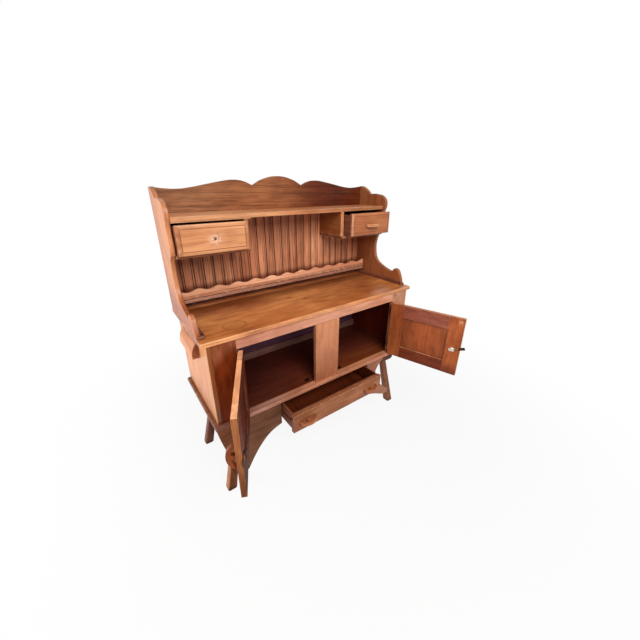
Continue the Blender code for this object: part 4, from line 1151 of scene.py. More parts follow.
@dataclass
class Hutch:
    """The hutch on the worktop: sides, crest, beaded back, shelf, plate rail and drawer pockets."""

    arris: float = 0.0020
    bead_pitch: float = 0.051058
    quirk_place: float = 0.0056
    quirk_foot: float = -0.160
    shelf_front: float = 0.2257
    apron_end: float = -0.2470
    apron_depth: float = 0.0120
    apron_foot: float = 1.2940
    shoe_width: float = 0.016
    shoe_height: float = 0.016
    toe_overlap: float = 0.017
    toe_depth: float = 0.019
    toe_height: float = 0.0125
    lip_height: float = 0.0205
    lip_depth: float = 0.014
    lip_round: float = 0.0022
    quirk_height: float = 0.0045
    quirk_depth: float = 0.0035
    shelf_round: float = 0.0025
    rail_arris: float = 0.0012
    partition_arris: float = 0.0015
    bead_arris: float = 0.0004
    shoe_round: float = 0.007
    toe_round: float = 0.0075
    seat_gap: float = 0.0002

    def boards(self, graph: Graph, place: Socket, colour: Socket) -> Socket:
        """Tint each board of the beaded back by its own lot, darken its quirks, and paint shade on its foot.

        Args:
            graph: The piece's shader graph.
            place: The point on the board.
            colour: The colour so far.

        Returns:
            The colour with this laid over it.
        """
        along, across, _ = graph.split(place)
        count = graph.math("DIVIDE", across, self.bead_pitch)
        lot = graph.node("ShaderNodeTexWhiteNoise", noise_dimensions="1D")
        graph.feed(lot.inputs["W"], graph.math("FLOOR", count))
        light = graph.mix(lot.outputs["Value"], (0.84, 0.74, 0.68), (1.34, 1.30, 1.24))
        colour = graph.mix(1.0, colour, light, "MULTIPLY")
        step = graph.math("SUBTRACT", graph.math("FRACT", graph.math("ADD", count, 0.5)), 0.5)
        away = graph.math("MULTIPLY_ADD", graph.math("ABSOLUTE", step), self.bead_pitch, -self.quirk_place)
        quirk = graph.fall(graph.math("ABSOLUTE", away), 0.0010, 0.0031)
        quirk = graph.times(quirk, graph.rise(along, self.quirk_foot - 0.012, self.quirk_foot, 0.90))
        front = graph.rise(graph.vector("DOT_PRODUCT", graph.model("Normal"), -AXIS_Y), -0.2, 0.2)
        colour = graph.mix(graph.times(quirk, front), colour, tone(66, 31, 23))
        low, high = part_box("beadboard")
        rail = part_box("plate_rail")[1].z - (low.z + high.z) / 2
        # Painted shade on the boards' front, low down behind the plate rail.
        foot = graph.fall(along, rail - 0.020, rail + 0.016)
        return graph.stain(graph.times(foot, front), colour, (0.34, 0.25, 0.25))

    def dress(self) -> None:
        """Finish the frame's own pieces."""
        low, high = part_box("left_hutch_side")
        face = (low.x + high.x) / 2
        # Painted shade on the hutch sides: the left one darker on its inner face, towards its back and low
        # down, and the right one darker all over.
        stains = {"left": [Zone(AXIS_X, face + 0.003, face + 0.0085, (0.55, 0.44, 0.38)),
                           Zone(AXIS_Y, 0.26, 0.44, (0.76, 0.70, 0.68)),
                           Zone(-AXIS_Z, -1.02, -0.90, (0.67, 0.48, 0.35))],
                  "right": [whole((0.61, 0.50, 0.42))]}
        # Painted shade on the pocket partitions behind their front edges, and on the left one's front edge.
        behind = Zone(AXIS_Y, self.shelf_front + 0.004, self.shelf_front + 0.008, (0.55, 0.42, 0.30))
        edge = light_by_facing(-AXIS_Y, (0.52, 0.43, 0.42))
        for side, sign in SIDES:
            DRESSER.node(f"{side}_hutch_side", replace(HONEY, end_grain=0.5), AXIS_Z, sign * AXIS_X,
                         self.arris, stains[side], segments=3)
            DRESSER.node(f"{side}_pocket_floor", replace(TAN, wear=0.9), AXIS_X, AXIS_Z, self.rail_arris)
            DRESSER.node(f"{side}_pocket_partition", replace(PALE, end_grain=0.0), AXIS_Y, -sign * AXIS_X,
                         self.partition_arris, [behind], [edge] if sign < 0 else [])
        # Painted shade on the crest's right part, and painted light with a pinkish sheen on its left end.
        crest_shade = Zone(AXIS_X, -0.10, 0.34, (0.38, 0.20, 0.13))
        crest_light = Zone(-AXIS_X, 0.10, 0.48, (1.02, 1.20, 1.38))
        DRESSER.node("crest_board", BROWN, AXIS_X, -AXIS_Y, self.arris, [crest_shade, crest_light], segments=3)
        # Painted shade on the shelf, deeper towards its right.
        far = Zone(AXIS_X, -0.25, 0.30, (0.76, 0.66, 0.62))
        DRESSER.node("hutch_shelf", PALE, AXIS_X, AXIS_Z, self.shelf_round, [far], segments=3)
        low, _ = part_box("plate_rail")
        # Painted shade on the beadboard's left part.
        near = Zone(-AXIS_X, -0.25, 0.10, (0.78, 0.76, 0.78))
        DRESSER.node("beadboard", BEADED, AXIS_Z, -AXIS_Y, self.bead_arris, [near], [self.boards])
        DRESSER.node("plate_ledge", replace(ROSY, wear=0.8, reach=0.006), AXIS_X, AXIS_Z, self.rail_arris)
        # Painted shade along the plate rail's foot; painted light from its middle to the right, and painted
        # shade again at its right end.
        foot = Zone(-AXIS_Z, -low.z - 0.004, -low.z - 0.001, (0.30, 0.24, 0.22))
        middle = Zone(AXIS_X, -0.35, -0.15, (1.20, 1.25, 1.30))
        end = Zone(AXIS_X, 0.12, 0.40, (0.81, 0.66, 0.60))
        DRESSER.node("plate_rail", BLUSH, AXIS_X, -AXIS_Y, self.rail_arris, [foot, middle, end])

    def build(self) -> None:
        """Add each side's shoe with its rounded toe, the strip over the left drawer and the ledge's lip."""
        for side, sign in SIDES:
            low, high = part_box(f"{side}_hutch_side")
            inner = high.x if sign < 0 else low.x
            self.strip(side, sign, inner, low)
            self.toe(side, sign, inner, low)
        self.apron()
        self.lip()

    def lip(self) -> None:
        """Make the strip under the plate ledge's front edge, with a sunk line along its top."""
        low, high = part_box("plate_ledge")
        front = low.y + 0.0004
        top = low.z - 0.0003
        foot = top - self.lip_height
        crown = top - self.quirk_height
        inner = front + self.quirk_depth
        back = front + self.lip_depth
        soft = self.lip_round
        outline = [(inner, top), (inner, crown), (front + soft, crown), (front, crown - soft),
                   (front, foot + soft), (front + soft * 0.3, foot + soft * 0.3), (front + soft, foot),
                   (back, foot), (back, top)]
        bm = bmesh.new()
        Bench.loft(bm, [[Vector((x, y, z)) for y, z in outline] for x in (low.x + 0.0005, high.x - 0.0005)])
        obj = Bench.finish("plate_ledge_lip", bm, "carcass", "pale_wood")
        # Painted shade in the sunk line along the lip's top.
        line = Zone(AXIS_Z, crown - 0.0006, crown + 0.0006, (0.22, 0.16, 0.15))
        DRESSER.timber(obj, SCRAPED, AXIS_X, -AXIS_Y, [line])

    def apron(self) -> None:
        """Make the narrow strip under the shelf's front edge over the left drawer."""
        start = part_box("hutch_shelf")[0]
        outline = rounded(self.apron_depth / 2, (start.z - self.apron_foot) / 2, 0.0016, 3)
        height = (start.z + self.apron_foot) / 2 - self.seat_gap
        middle = Vector((0.0, start.y + 0.0006 + self.apron_depth / 2, height))
        bm = bmesh.new()
        Bench.loft(bm, [[middle + Vector((x, u, v)) for u, v in outline]
                        for x in (start.x + 0.0003, self.apron_end)])
        DRESSER.timber(Bench.finish("left_pocket_apron", bm, "carcass", "pale_wood"), PALE, AXIS_X, -AXIS_Y)

    def strip(self, side: str, sign: int, inner: float, low: Vector) -> None:
        """Make the strip, square at the side and worktop and round at its free corner.

        Args:
            side: The side's name.
            sign: -1 at the left and 1 at the right.
            inner: The inner face's place along X.
            low: The lowest corner of the hutch side.
        """
        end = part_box("beadboard")[0].y
        reach = self.shoe_width - self.shoe_round
        rise = self.shoe_height - self.shoe_round
        outline = [(0.0003, self.seat_gap), (self.shoe_width, self.seat_gap), (self.shoe_width, rise)]
        for step in range(1, 6):
            angle = math.pi / 2 * step / 5
            outline.append((reach + self.shoe_round * math.cos(angle),
                            rise + self.shoe_round * math.sin(angle)))
        outline.append((0.0003, self.shoe_height))
        bm = bmesh.new()
        Bench.loft(bm, [[Vector((inner - sign * u, y, low.z + v)) for u, v in outline]
                        for y in (low.y + 0.006, end - 0.0004)])
        obj = Bench.finish(f"{side}_side_shoe", bm, "carcass", "brown_wood")
        DRESSER.timber(obj, RUDDY, AXIS_Y, AXIS_Z)

    def toe(self, side: str, sign: int, inner: float, low: Vector) -> None:
        """Make the rounded toe, which stands in front of the side's foot and its strip.

        Args:
            side: The side's name.
            sign: -1 at the left and 1 at the right.
            inner: The inner face's place along X.
            low: The lowest corner of the hutch side.
        """
        half = (self.shoe_width + self.toe_overlap) / 2
        middle = Vector((inner - sign * (self.shoe_width - half), low.y - self.toe_depth / 2 + 0.004, low.z))
        levels = ((0.90, self.seat_gap), (1.0, 0.0030), (1.0, 0.0065), (0.90, 0.0100),
                  (0.66, self.toe_height))
        outline = rounded(half, self.toe_depth / 2, self.toe_round, 5)
        bm = bmesh.new()
        Bench.loft(bm, [[middle + Vector((u * share, v * share, height)) for u, v in outline]
                        for share, height in levels])
        obj = Bench.finish(f"{side}_shoe_toe", bm, "carcass", "walnut_wood")
        DRESSER.timber(obj, WALNUT, AXIS_X, AXIS_Z)


@dataclass
class SwingDoor:
    """One framed door with its hinges and turning latch. Its own X runs along it, its Y to its back."""

    side: str
    sign: int
    arris: float = 0.0009
    face: float = 0.0045
    back: float = 0.0250
    free_edge: float = 0.4129
    edge_gap: float = 0.002
    hinge_heights: tuple[tuple[str, float], ...] = (("lower", 0.5065), ("upper", 0.7345))
    barrel_radius: float = 0.0042
    barrel_length: float = 0.050
    leaf_width: float = 0.0165
    leaf_half_height: float = 0.025
    leaf_thickness: float = 0.0008
    tongue_back: float = 0.0288
    screw_rise: float = 0.016
    screw_profile: tuple[tuple[float, float], ...] = (
        (0.0026, -0.0002), (0.0026, 0.00005), (0.0018, 0.00015), (0.0006, 0.00018))
    washer_profile: tuple[tuple[float, float], ...] = (
        (0.0125, 0.0001), (0.0128, 0.0003), (0.0120, 0.0006), (0.0060, 0.00065))
    rivet_profile: tuple[tuple[float, float], ...] = (
        (0.0062, 0.0001), (0.0062, 0.0010), (0.0054, 0.0021), (0.0036, 0.0029), (0.0012, 0.0032))
    panel_arris: float = 0.0006
    handle_round: float = 0.0026
    tongue_arris: float = 0.0007
    # Width of the grime and painted shade round the panel, and the depths (left, right) at which the painted
    # shade on the door's back begins.
    grime_width: float = 0.005
    back_shade_depth: tuple[float, float] = (0.012, 0.007)

    def __post_init__(self) -> None:
        """Read the hinge and latch axes from the frame's joints."""
        joints = {joint["name"]: joint for joint in frame["joints"]}
        hinge = joints[f"{self.side}_door_hinge"]
        self.opening = -math.radians(hinge["range_deg"][0])
        self.turn = Matrix.Rotation(self.sign * self.opening, 3, "Z")
        self.axis = Vector(hinge["pos_m"])
        self.latch = Vector(joints[f"{self.side}_latch_turn"]["pos_m"])
        self.along = self.turn @ (-self.sign * AXIS_X)
        self.inward = self.turn @ AXIS_Y

    def spot(self, along: float, depth: float, height: float) -> Vector:
        """Give the model point at a distance along the door, a depth and a height."""
        return Vector((self.axis.x, self.axis.y, height)) + self.along * along + self.inward * depth

    def scuff(self, graph: Graph, place: Socket, colour: Socket) -> Socket:
        """Lay a pale chip near the top of the latch stile over its colour.

        Args:
            graph: The piece's shader graph.
            place: The point on the board.
            colour: The colour so far.

        Returns:
            The colour with this laid over it.
        """
        obj = frame["nodes"][f"{self.side}_door_latch_stile"]
        board = Board.of(obj, AXIS_Z, self.inward, 0)
        spot = board.local(self.spot(self.free_edge - 0.020, self.back, 0.768))
        chip = graph.group(Effect.SPOT, vector=place, place=spot, radius=0.014, rim=0.008,
                           stretch=(0.9, 1.2, 1.0))
        ragged = graph.rise(graph.noise(place, (160.0, 160.0, 160.0), 3.0), 0.45, 0.6)
        return graph.mix(graph.times(chip.outputs["Disc"], ragged, 0.75), colour, tone(226, 168, 130))

    def dress(self) -> None:
        """Finish the frame's own pieces."""
        name = f"{self.side}_door"
        root = self.axis.dot(self.along)
        timber = replace(FRAME, end_grain=0.2, mottle=0.7, edge_grime_shade=0.75, edge_grime_shade_reach=0.011, gloss=0.15)
        panel = replace(RUSSET, mottle=0.6, streak=0.22, figure=0.12)
        handle = HONEY
        metal = self.latch_metal()
        # Painted light and shade on the door: the latch stile lighter but darker low down; painted shade on
        # the backs (stained), the bottom rail's back too; a painted pinkish sheen on the top rail's back; a
        # painted highlight on the bottom rail's top (sill); painted shade on the panel near the hinge (dim);
        # the panel's outer face lighter than its shaded back (shelter).
        low_edge = [Zone(-AXIS_Z, -0.535, -0.455, (0.50, 0.42, 0.40)), whole((1.12, 1.10, 1.02))]
        fixed = [self.stained(AXIS_Z)]
        free = [self.stained(AXIS_Z + self.along), self.scuff]
        top = [self.stained(AXIS_Z), light_by_facing(self.inward, (0.92, 1.03, 2.20))]
        sill = [light_by_facing(AXIS_Z, (1.6, 2.3, 3.2))]
        dim = [Zone(-self.along, -root - 0.24, -root - 0.08, (0.70, 0.66, 0.66))]
        shelter = [light_by_facing(-self.inward, (1.22, 1.45, 1.60))]
        grip = []
        # On the left door: the panel's back in deep painted shade, painted light on the top faces of its
        # stiles and rails, and painted shade on its free edge.
        if self.sign < 0:
            timber = replace(timber, gloss=0.05, coat=0.0, rough=0.6, edge_grime_shade=0.15)
            panel = replace(RUSSET, gloss=0.05, coat=0.0, rough=0.6)
            handle = CHESTNUT
            low_edge = [Zone(-AXIS_Z, -0.66, -0.46, (0.42, 0.36, 0.33)), whole((1.30, 1.42, 1.42))]
            fixed.append(light_by_facing(AXIS_Z, (1.22, 1.42, 1.66)))
            free += [light_by_facing(self.along, (0.47, 0.40, 0.37)), light_by_facing(AXIS_Z, (1.42, 1.70, 2.30))]
            top[1:] = [light_by_facing(AXIS_Z, (1.45, 1.74, 2.15)), light_by_facing(self.inward, (0.90, 0.92, 1.15))]
            sill = []
            dim = []
            shelter.append(light_by_facing(self.inward, (0.24, 0.17, 0.20)))
            grip = [whole((0.66, 0.42, 0.24))]
        low_rail = [self.stained(-AXIS_Z), light_by_facing(self.inward, (0.54, 0.38, 0.32)), *sill]
        DRESSER.node(f"{name}_hinge_stile", timber, AXIS_Z, self.inward, self.arris, features=fixed)
        DRESSER.node(f"{name}_latch_stile", timber, AXIS_Z, self.inward, self.arris, low_edge, free)
        DRESSER.node(f"{name}_top_rail", replace(timber, wear=0.4), self.along, self.inward, self.arris,
                     features=top)
        DRESSER.node(f"{name}_bottom_rail", timber, self.along, self.inward, self.arris, features=low_rail)
        DRESSER.node(f"{name}_panel", panel, AXIS_Z, self.inward, self.panel_arris, dim,
                     [*shelter, self.glow, self.recess])
        DRESSER.node(f"{name}_handle", handle, AXIS_Z, -self.inward, self.handle_round, grip, segments=3)
        tongue = frame["nodes"][f"{self.side}_latch_tongue"]
        DRESSER.metal(tongue, metal, self.along, self.inward, [self.patina])
        SOFTENER.ease(tongue, self.tongue_arris)

    def latch_metal(self) -> Metal:
        """Give the finish of this door's latch."""
        return TARNISH_AND_SHADE if self.sign < 0 else NICKEL

    def stained(self, edge: Vector) -> Feature:
        """Give the deeper stain and painted shade of the door's back and of the corner round its panel.

        Args:
            edge: The way the outer edges look, which stay light.

        Returns:
            The mark, to lay over a piece's colour.
        """
        # Painted shade, over a deeper stain, on the door's back.
        tint = SHELTERED_DOOR_STAIN_AND_SHADE if self.sign < 0 else INNER_DOOR_STAIN_AND_SHADE
        start = self.axis.dot(self.inward) + self.back - self.back_shade_depth[self.sign > 0]

        def lay(graph: Graph, place: Socket, colour: Socket) -> Socket:
            """Multiply the tint in past a depth, off the outer edges.

            Args:
                graph: The piece's shader graph.
                place: The point on the board; not used.
                colour: The colour so far.

            Returns:
                The colour with this laid over it.
            """
            depth = graph.vector("DOT_PRODUCT", graph.model("Object"), self.inward)
            outer = graph.vector("DOT_PRODUCT", graph.model("Normal"), edge.normalized())
            share = graph.times(graph.rise(depth, start, start + 0.005), graph.fall(outer, 0.50, 0.68))
            return graph.stain(share, colour, tint)
        return lay

    def glow(self, graph: Graph, place: Socket, colour: Socket) -> Socket:
        """Lay a painted pool of light in the middle of the panel over its colour."""
        middle = graph.group(Effect.SPOT, vector=place, place=(0.0, 0.0, 0.0), radius=0.075, rim=0.060,
                             stretch=(0.8, 1.0, 0.0))
        return graph.stain(middle.outputs["Disc"], colour, (1.26, 1.22, 1.10))

    def recess(self, graph: Graph, place: Socket, colour: Socket) -> Socket:
        """Lay grime and painted shade round the panel, in the corner under its frame, over its colour.

        Args:
            graph: The piece's shader graph.
            place: The point on the board.
            colour: The colour so far.

        Returns:
            The colour with this laid over it.
        """
        half = Board.of(frame["nodes"][f"{self.side}_door_panel"], AXIS_Z, self.inward, 0).half
        up, across, _ = graph.split(graph.vector("SUBTRACT", half, graph.vector("ABSOLUTE", place)))
        # Grime and painted shade along the panel's edges.
        grime = graph.fall(graph.math("MINIMUM", up, across), 0.0005, self.grime_width)
        return graph.stain(grime, colour, (0.34, 0.22, 0.18))

    def patina(self, graph: Graph, place: Socket, colour: Socket) -> Socket:
        """Lay brown patina over the tongue past its rivet, and a black tip."""
        along, _, _ = graph.split(place)
        brown = graph.mix(graph.rise(along, -0.018, -0.008), colour, tone(150, 88, 54))
        return graph.mix(graph.rise(along, 0.004, 0.014), brown, tone(72, 50, 38))

    def build(self) -> None:
        """Add knuckled hinge barrels, hinge leaves and the latch's washer and rivet."""
        for level, height in self.hinge_heights:
            self.barrel(level, height)
            edge = -self.sign * AXIS_X
            front = Vector((self.axis.x, self.axis.y + self.face, height))
            self.leaf(f"{self.side}_{level}_frame_leaf", front, edge, AXIS_Y, "carcass")
            start = self.spot(self.edge_gap, self.face, height)
            self.leaf(f"{self.side}_{level}_door_leaf", start, -self.along, self.inward, f"{self.side}_door")
        door, latch = f"{self.side}_door", f"{self.side}_latch"
        self.button(f"{latch}_washer", self.back, self.washer_profile, 32, door)
        self.button(f"{latch}_rivet", self.tongue_back, self.rivet_profile, 28, latch)

    def barrel(self, level: str, height: float) -> None:
        """Make a hinge barrel of five knuckles with a small cap at each end of its pin.

        Args:
            level: The hinge's name.
            height: The height of its middle.
        """
        radius = self.barrel_radius
        half = self.barrel_length / 2
        step = (self.barrel_length - 0.002) / 5
        profile = [(radius * 0.45, -half), (radius * 0.8, -half + 0.0008)]
        for knuckle in range(5):
            low = -half + 0.0010 + knuckle * step
            high = low + step
            profile += [(radius * 0.86, low), (radius, low + 0.0004),
                        (radius, high - 0.0004), (radius * 0.86, high)]
        profile += [(radius * 0.8, half - 0.0008), (radius * 0.45, half)]
        bm = bmesh.new()
        Bench.turned(bm, profile, Matrix.Translation((self.axis.x, self.axis.y, height)), 28)
        obj = Bench.finish(f"{self.side}_{level}_hinge_barrel", bm, f"{self.side}_door", "hinge_steel")
        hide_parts(f"{self.side}_{level}_hinge")
        DRESSER.metal(obj, STEEL, AXIS_Z, AXIS_X)

    def leaf(self, name: str, corner: Vector, out: Vector, depth: Vector, body: str) -> None:
        """Make a hinge leaf with three screw heads on a board's edge.

        Args:
            name: The leaf's name.
            corner: Middle of the arris that the leaf starts from.
            out: Direction out of the edge that carries it.
            depth: Direction from the arris along the edge.
            body: The body it rides on.
        """
        middle = corner + depth * (self.leaf_width / 2 + 0.0010)
        bm = bmesh.new()
        outline = rounded(self.leaf_width / 2, self.leaf_half_height, 0.0025, 3)
        thick = self.leaf_thickness
        Bench.loft(bm, [[middle + depth * u * s + AXIS_Z * v * s + out * t for u, v in outline]
                        for s, t in ((1.0, 0.0001), (1.0, thick - 0.0002), (0.975, thick))])
        for up in (-self.screw_rise, 0.0, self.screw_rise):
            place = middle + AXIS_Z * up + depth * (0.002 if up else -0.002) + out * thick
            Bench.turned(bm, self.screw_profile, standing(place, out), 14)
        DRESSER.metal(Bench.finish(name, bm, body, "hinge_steel"), STEEL, AXIS_Z, out)

    def button(self, name: str, depth: float, profile: Sequence[tuple[float, float]], steps: int,
               body: str) -> None:
        """Make a turned fitting of the latch.

        Args:
            name: The fitting's name.
            depth: How far behind the latch's joint it stands.
            profile: Its (radius, height) points.
            steps: Facets round it.
            body: The body it rides on.
        """
        bm = bmesh.new()
        Bench.turned(bm, profile, standing(self.latch + self.inward * depth, self.inward), steps)
        DRESSER.metal(Bench.finish(name, bm, body, "nickel"), self.latch_metal(), AXIS_Z, self.inward)


def hollow(name: str) -> Feature:
    """Give the mark that paints shade on the inside of a tray, within its walls.

    Args:
        name: The tray's node.

    Returns:
        The mark, to lay over the tray's colour.
    """
    low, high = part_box(name)
    reach = Vector((high.y - low.y, high.x - low.x, 0.0)) / 2

    def lay(graph: Graph, place: Socket, colour: Socket) -> Socket:
        """Multiply the painted shade in, past the thickness of the walls."""
        along, across, _ = graph.split(graph.vector("SUBTRACT", reach, graph.vector("ABSOLUTE", place)))
        inside = graph.rise(graph.math("MINIMUM", along, across), 0.0062, 0.0078)
        return graph.stain(inside, colour, TRAY_HOLLOW_SHADE)
    return lay


@dataclass
class BottomDrawer:
    """The drawer hung under the bottom board."""

    arris: float = 0.0016

    def dress(self) -> None:
        """Finish the frame's own pieces."""
        # Painted shade over the drawer front, deeper towards its left end.
        near = Zone(-AXIS_X, -0.10, 0.22, (0.80, 0.74, 0.72))
        finish = replace(ROSY, gloss=0.12, mottle=0.7, edge_grime_shade=0.5)
        tray = "bottom_drawer_tray"
        DRESSER.node("bottom_drawer_front", finish, AXIS_X, -AXIS_Y, self.arris,
                     [near, whole((0.74, 0.70, 0.64))])
        DRESSER.node(tray, SHADE, AXIS_Y, AXIS_Z, TRAY_ARRIS, features=[hollow(tray)])
        for side, _ in SIDES:
            DRESSER.node(f"{side}_drawer_pull", AMBER, AXIS_X, -AXIS_Y, PULL_ROUND,
                         [whole((0.74, 0.66, 0.58))], segments=3)


@dataclass
class SmallDrawer:
    """A small drawer in the hutch. The left one shows the bare screw that held its pull."""

    side: str
    sign: int
    arris: float = 0.0014
    screw_radius: float = 0.0058
    screw_height: float = 0.0040
    shank_radius: float = 0.0020
    rim_height: float = 0.0011
    slot_half: float = 0.0007
    border: float = 0.0155
    # Painted shade on the ends of the border, and painted light on its left bevel.
    border_shade: Colour = (0.80, 0.72, 0.70)
    lit_tints: tuple[Colour, Colour] = ((0.96, 0.97, 0.98), (1.60, 2.50, 4.00))

    def patch(self, graph: Graph, place: Socket, colour: Socket) -> Socket:
        """Lay the pale worn patch round the bare screw over the front's colour.

        Args:
            graph: The piece's shader graph.
            place: The point on the board.
            colour: The colour so far.

        Returns:
            The colour with this laid over it.
        """
        for radius, share, tint in ((0.030, 0.40, tone(236, 190, 158)), (0.016, 0.38, tone(240, 214, 200))):
            worn = graph.group(Effect.SPOT, vector=place, place=(0.004, -0.003, 0.0), radius=radius,
                               rim=radius * 0.7, stretch=(0.8, 1.0, 0.0))
            ragged = graph.rise(graph.noise(place, (90.0, 130.0, 130.0), 3.0), 0.34, 0.62)
            colour = graph.mix(graph.times(worn.outputs["Disc"], ragged, share), colour, tint)
        return colour

    def dress(self) -> None:
        """Finish the frame's own pieces."""
        marks = [self.outline, self.patch] if self.sign < 0 else [self.outline]
        low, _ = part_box(f"{self.side}_small_drawer_front")
        # Painted light on the border's left bevel; the right front also gets painted shade, through the
        # darker AMBER finish and a darker tint all over.
        lit = Zone(-AXIS_X, -low.x - self.border, -low.x - self.border + 0.002, self.lit_tints[self.sign > 0])
        stain = [lit] if self.sign < 0 else [lit, whole((0.91, 0.89, 0.85))]
        finish = replace(PALE if self.sign < 0 else AMBER, edge_grime_shade=0.12)
        DRESSER.node(f"{self.side}_small_drawer_front", finish, AXIS_X, -AXIS_Y, self.arris, stain, marks)
        tray = f"{self.side}_small_drawer_tray"
        DRESSER.node(tray, SHADE, AXIS_Y, AXIS_Z, TRAY_ARRIS, features=[hollow(tray)])
        if self.sign > 0:
            DRESSER.node("right_small_drawer_pull", HONEY, AXIS_X, -AXIS_Y, PULL_ROUND, segments=3)

    def outline(self, graph: Graph, place: Socket, colour: Socket) -> Socket:
        """Lay painted shade on the border's ends and in a line round the raised field, over the colour.

        Args:
            graph: The piece's shader graph.
            place: The point on the board.
            colour: The colour so far.

        Returns:
            The colour with this laid over it.
        """
        low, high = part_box(f"{self.side}_small_drawer_front")
        half = Vector((high.x - low.x, high.z - low.z, 0.0)) / 2 - Vector((self.border, self.border, 0.0))
        off = graph.vector("SUBTRACT", graph.vector("ABSOLUTE", place), half)
        along, across, _ = graph.split(off)
        away = graph.math("MAXIMUM", along, across)
        # Painted shade on the border's ends, and along the edge of the raised field.
        colour = graph.stain(graph.rise(along, 0.0, 0.002), colour, self.border_shade)
        line = graph.fall(graph.math("ABSOLUTE", away), 0.0008, 0.0030)
        return graph.mix(graph.times(line, 0.80), colour, tone(122, 64, 36))

    def build(self) -> None:
        """Make the slotted screw of the left drawer."""
        if self.sign > 0:
            return
        low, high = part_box("left_pull_screw")
        seat = Vector(((low.x + high.x) / 2, low.y + self.screw_height, (low.z + high.z) / 2))
        place = Matrix.Translation(seat) @ Matrix.Rotation(math.pi / 2, 4, "X") @ Matrix.Rotation(0.5, 4, "Z")
        bm = bmesh.new()
        Bench.turned(bm, ((self.shank_radius, -0.0190), (self.shank_radius, 0.0001),
                          (self.screw_radius, 0.0002), (self.screw_radius, self.rim_height)), place, 28)
        angles = [math.pi / 2 * step / 7 for step in range(7)]
        crown = self.screw_height - 0.0012
        profile = [(self.screw_radius * math.cos(angle), self.rim_height + crown * math.sin(angle))
                   for angle in angles]
        for hand in (-1, 1):
            dome = bmesh.new()
            Bench.turned(dome, profile, Matrix.Identity(4), 28)
            cut = bmesh.ops.bisect_plane(dome, geom=dome.verts[:] + dome.edges[:] + dome.faces[:],
                                         plane_co=(hand * self.slot_half, 0.0, 0.0),
                                         plane_no=(-hand, 0.0, 0.0), clear_outer=True)
            rim = [item for item in cut["geom_cut"] if isinstance(item, bmesh.types.BMEdge)]
            bmesh.ops.contextual_create(dome, geom=rim)
            dome.transform(place)
            half = bpy.data.meshes.new("half_dome")
            dome.to_mesh(half)
            dome.free()
            bm.from_mesh(half)
            bpy.data.meshes.remove(half)
        obj = Bench.finish("left_bare_screw", bm, "left_small_drawer", "hinge_steel")
        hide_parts("left_pull_screw")
        DRESSER.metal(obj, DULL, AXIS_X, -AXIS_Y)


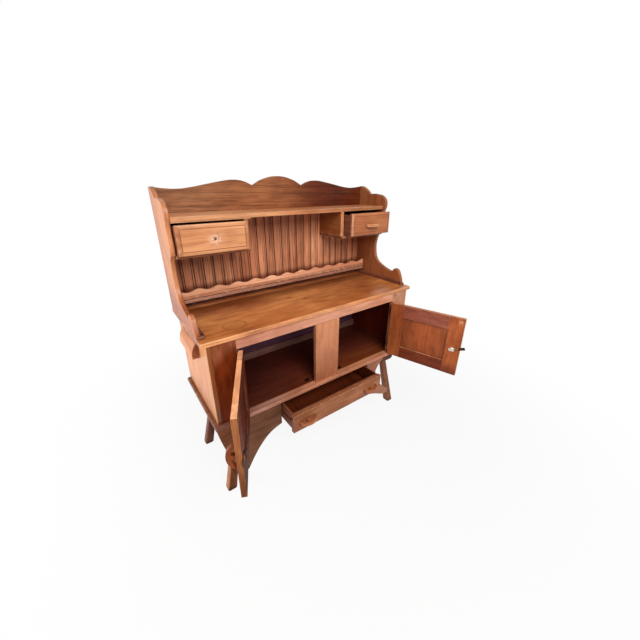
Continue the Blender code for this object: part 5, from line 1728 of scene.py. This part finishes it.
@dataclass
class Studio:
    """Floor, light and camera."""

    eye: Vector = field(default_factory=lambda: Vector((-0.840316, -1.111410, 1.431447)))
    pitch: float = math.pi / 2 - 0.4022986
    yaw: float = -0.6256994
    roll: float = 0.000944
    lens: float = 16.750
    shift: tuple[float, float] = (0.00546, -0.01140)
    sensor: float = 36.0
    clip: tuple[float, float] = (0.05, 60.0)
    floor_half: float = 9.0
    floor_height: float = -0.0006
    floor_colour: Colour = (0.62, 0.61, 0.60)
    floor_rough: float = 0.9
    ambient: float = 0.30
    aim: Vector = field(default_factory=lambda: Vector((0.0, 0.1, 0.8)))
    lamps: tuple[tuple[str, Colour, float, float], ...] = (
        ("window_lamp", (-2.9, 0.75, 1.1), 1.8, 78.0), ("front_lamp", (-0.6, -2.5, 3.0), 2.0, 132.0))

    def floor(self) -> None:
        """Lay the pale floor."""
        bm = bmesh.new()
        bmesh.ops.create_grid(bm, x_segments=8, y_segments=8, size=self.floor_half)
        mesh = bpy.data.meshes.new("studio_floor")
        bm.to_mesh(mesh)
        bm.free()
        obj = bpy.data.objects.new("studio_floor", mesh)
        obj.location.z = self.floor_height
        bpy.context.scene.collection.objects.link(obj)
        material, graph, shader = open_material("studio_floor")
        graph.fill(shader, base_color=self.floor_colour, roughness=self.floor_rough)
        glow = graph.node("ShaderNodeEmission")
        away = graph.vector("LENGTH", graph.model("Object"))
        cover = graph.math("MULTIPLY_ADD", graph.rise(away, 0.7, 2.2), 0.12, 0.88)
        blend = graph.node("ShaderNodeMixShader")
        seen = graph.times(self.seen(graph), cover)
        for socket, value in zip(blend.inputs, (seen, shader.outputs[0], glow.outputs[0])):
            graph.feed(socket, value)
        graph.feed(material.node_tree.nodes["Material Output"].inputs["Surface"], blend.outputs[0])
        obj.data.materials.append(material)

    @staticmethod
    def seen(graph: Graph) -> Socket:
        """Give 1 on rays from the camera, a mirror or glass, and 0 on rays that light things."""
        paths = graph.node("ShaderNodeLightPath")
        mirrored = graph.math("MAXIMUM", paths.outputs["Is Glossy Ray"], paths.outputs["Is Transmission Ray"])
        return graph.math("MAXIMUM", paths.outputs["Is Camera Ray"], mirrored)

    def world(self) -> None:
        """Fill the room with plain light, white where it is seen or mirrored."""
        world = bpy.data.worlds.new("studio_world")
        world.use_nodes = True
        bpy.context.scene.world = world
        graph = Graph(world.node_tree)
        back = world.node_tree.nodes["Background"]
        back.inputs["Color"].default_value = (1.0, 1.0, 1.0, 1.0)
        graph.feed(back.inputs["Strength"],
                   graph.math("MULTIPLY_ADD", self.seen(graph), 1.0 - self.ambient, self.ambient))

    def lamp(self, name: str, place: Vector, size: float, power: float) -> None:
        """Hang a square soft lamp that looks at the cabinet.

        Args:
            name: The lamp's name.
            place: Where it hangs.
            size: Its width.
            power: Its power in watts.
        """
        light = bpy.data.lights.new(name, "AREA")
        light.shape = "SQUARE"
        light.size = size
        light.energy = power
        obj = bpy.data.objects.new(name, light)
        obj.location = place
        obj.rotation_mode = "QUATERNION"
        obj.rotation_quaternion = (self.aim - place).to_track_quat("-Z", "Y")
        bpy.context.scene.collection.objects.link(obj)

    def build(self) -> None:
        """Set floor, light, camera and view."""
        self.floor()
        self.world()
        for name, place, size, power in self.lamps:
            self.lamp(name, Vector(place), size, power)
        camera = bpy.data.cameras.new("photo_camera")
        camera.sensor_width = self.sensor
        camera.lens = self.lens
        camera.shift_x, camera.shift_y = self.shift
        camera.clip_start, camera.clip_end = self.clip
        obj = bpy.data.objects.new("photo_camera", camera)
        obj.location = self.eye
        obj.rotation_euler = (self.pitch, self.roll, self.yaw)
        bpy.context.scene.collection.objects.link(obj)
        bpy.context.scene.camera = obj
        bpy.context.scene.view_settings.view_transform = "Standard"


def main() -> None:
    """Dress the cabinet, add its trim and set the studio."""
    logging.basicConfig(level=logging.INFO, format="%(message)s")
    base = BaseCupboard()
    hutch = Hutch()
    small = [SmallDrawer(side, sign) for side, sign in SIDES]
    doors = [SwingDoor(side, sign) for side, sign in SIDES]
    for part in (base, Underframe(), hutch, *doors, BottomDrawer(), *small):
        part.dress()
    for part in (base, hutch, *doors, *small):
        part.build()
    Studio().build()


if __name__ == "__main__":
    main()
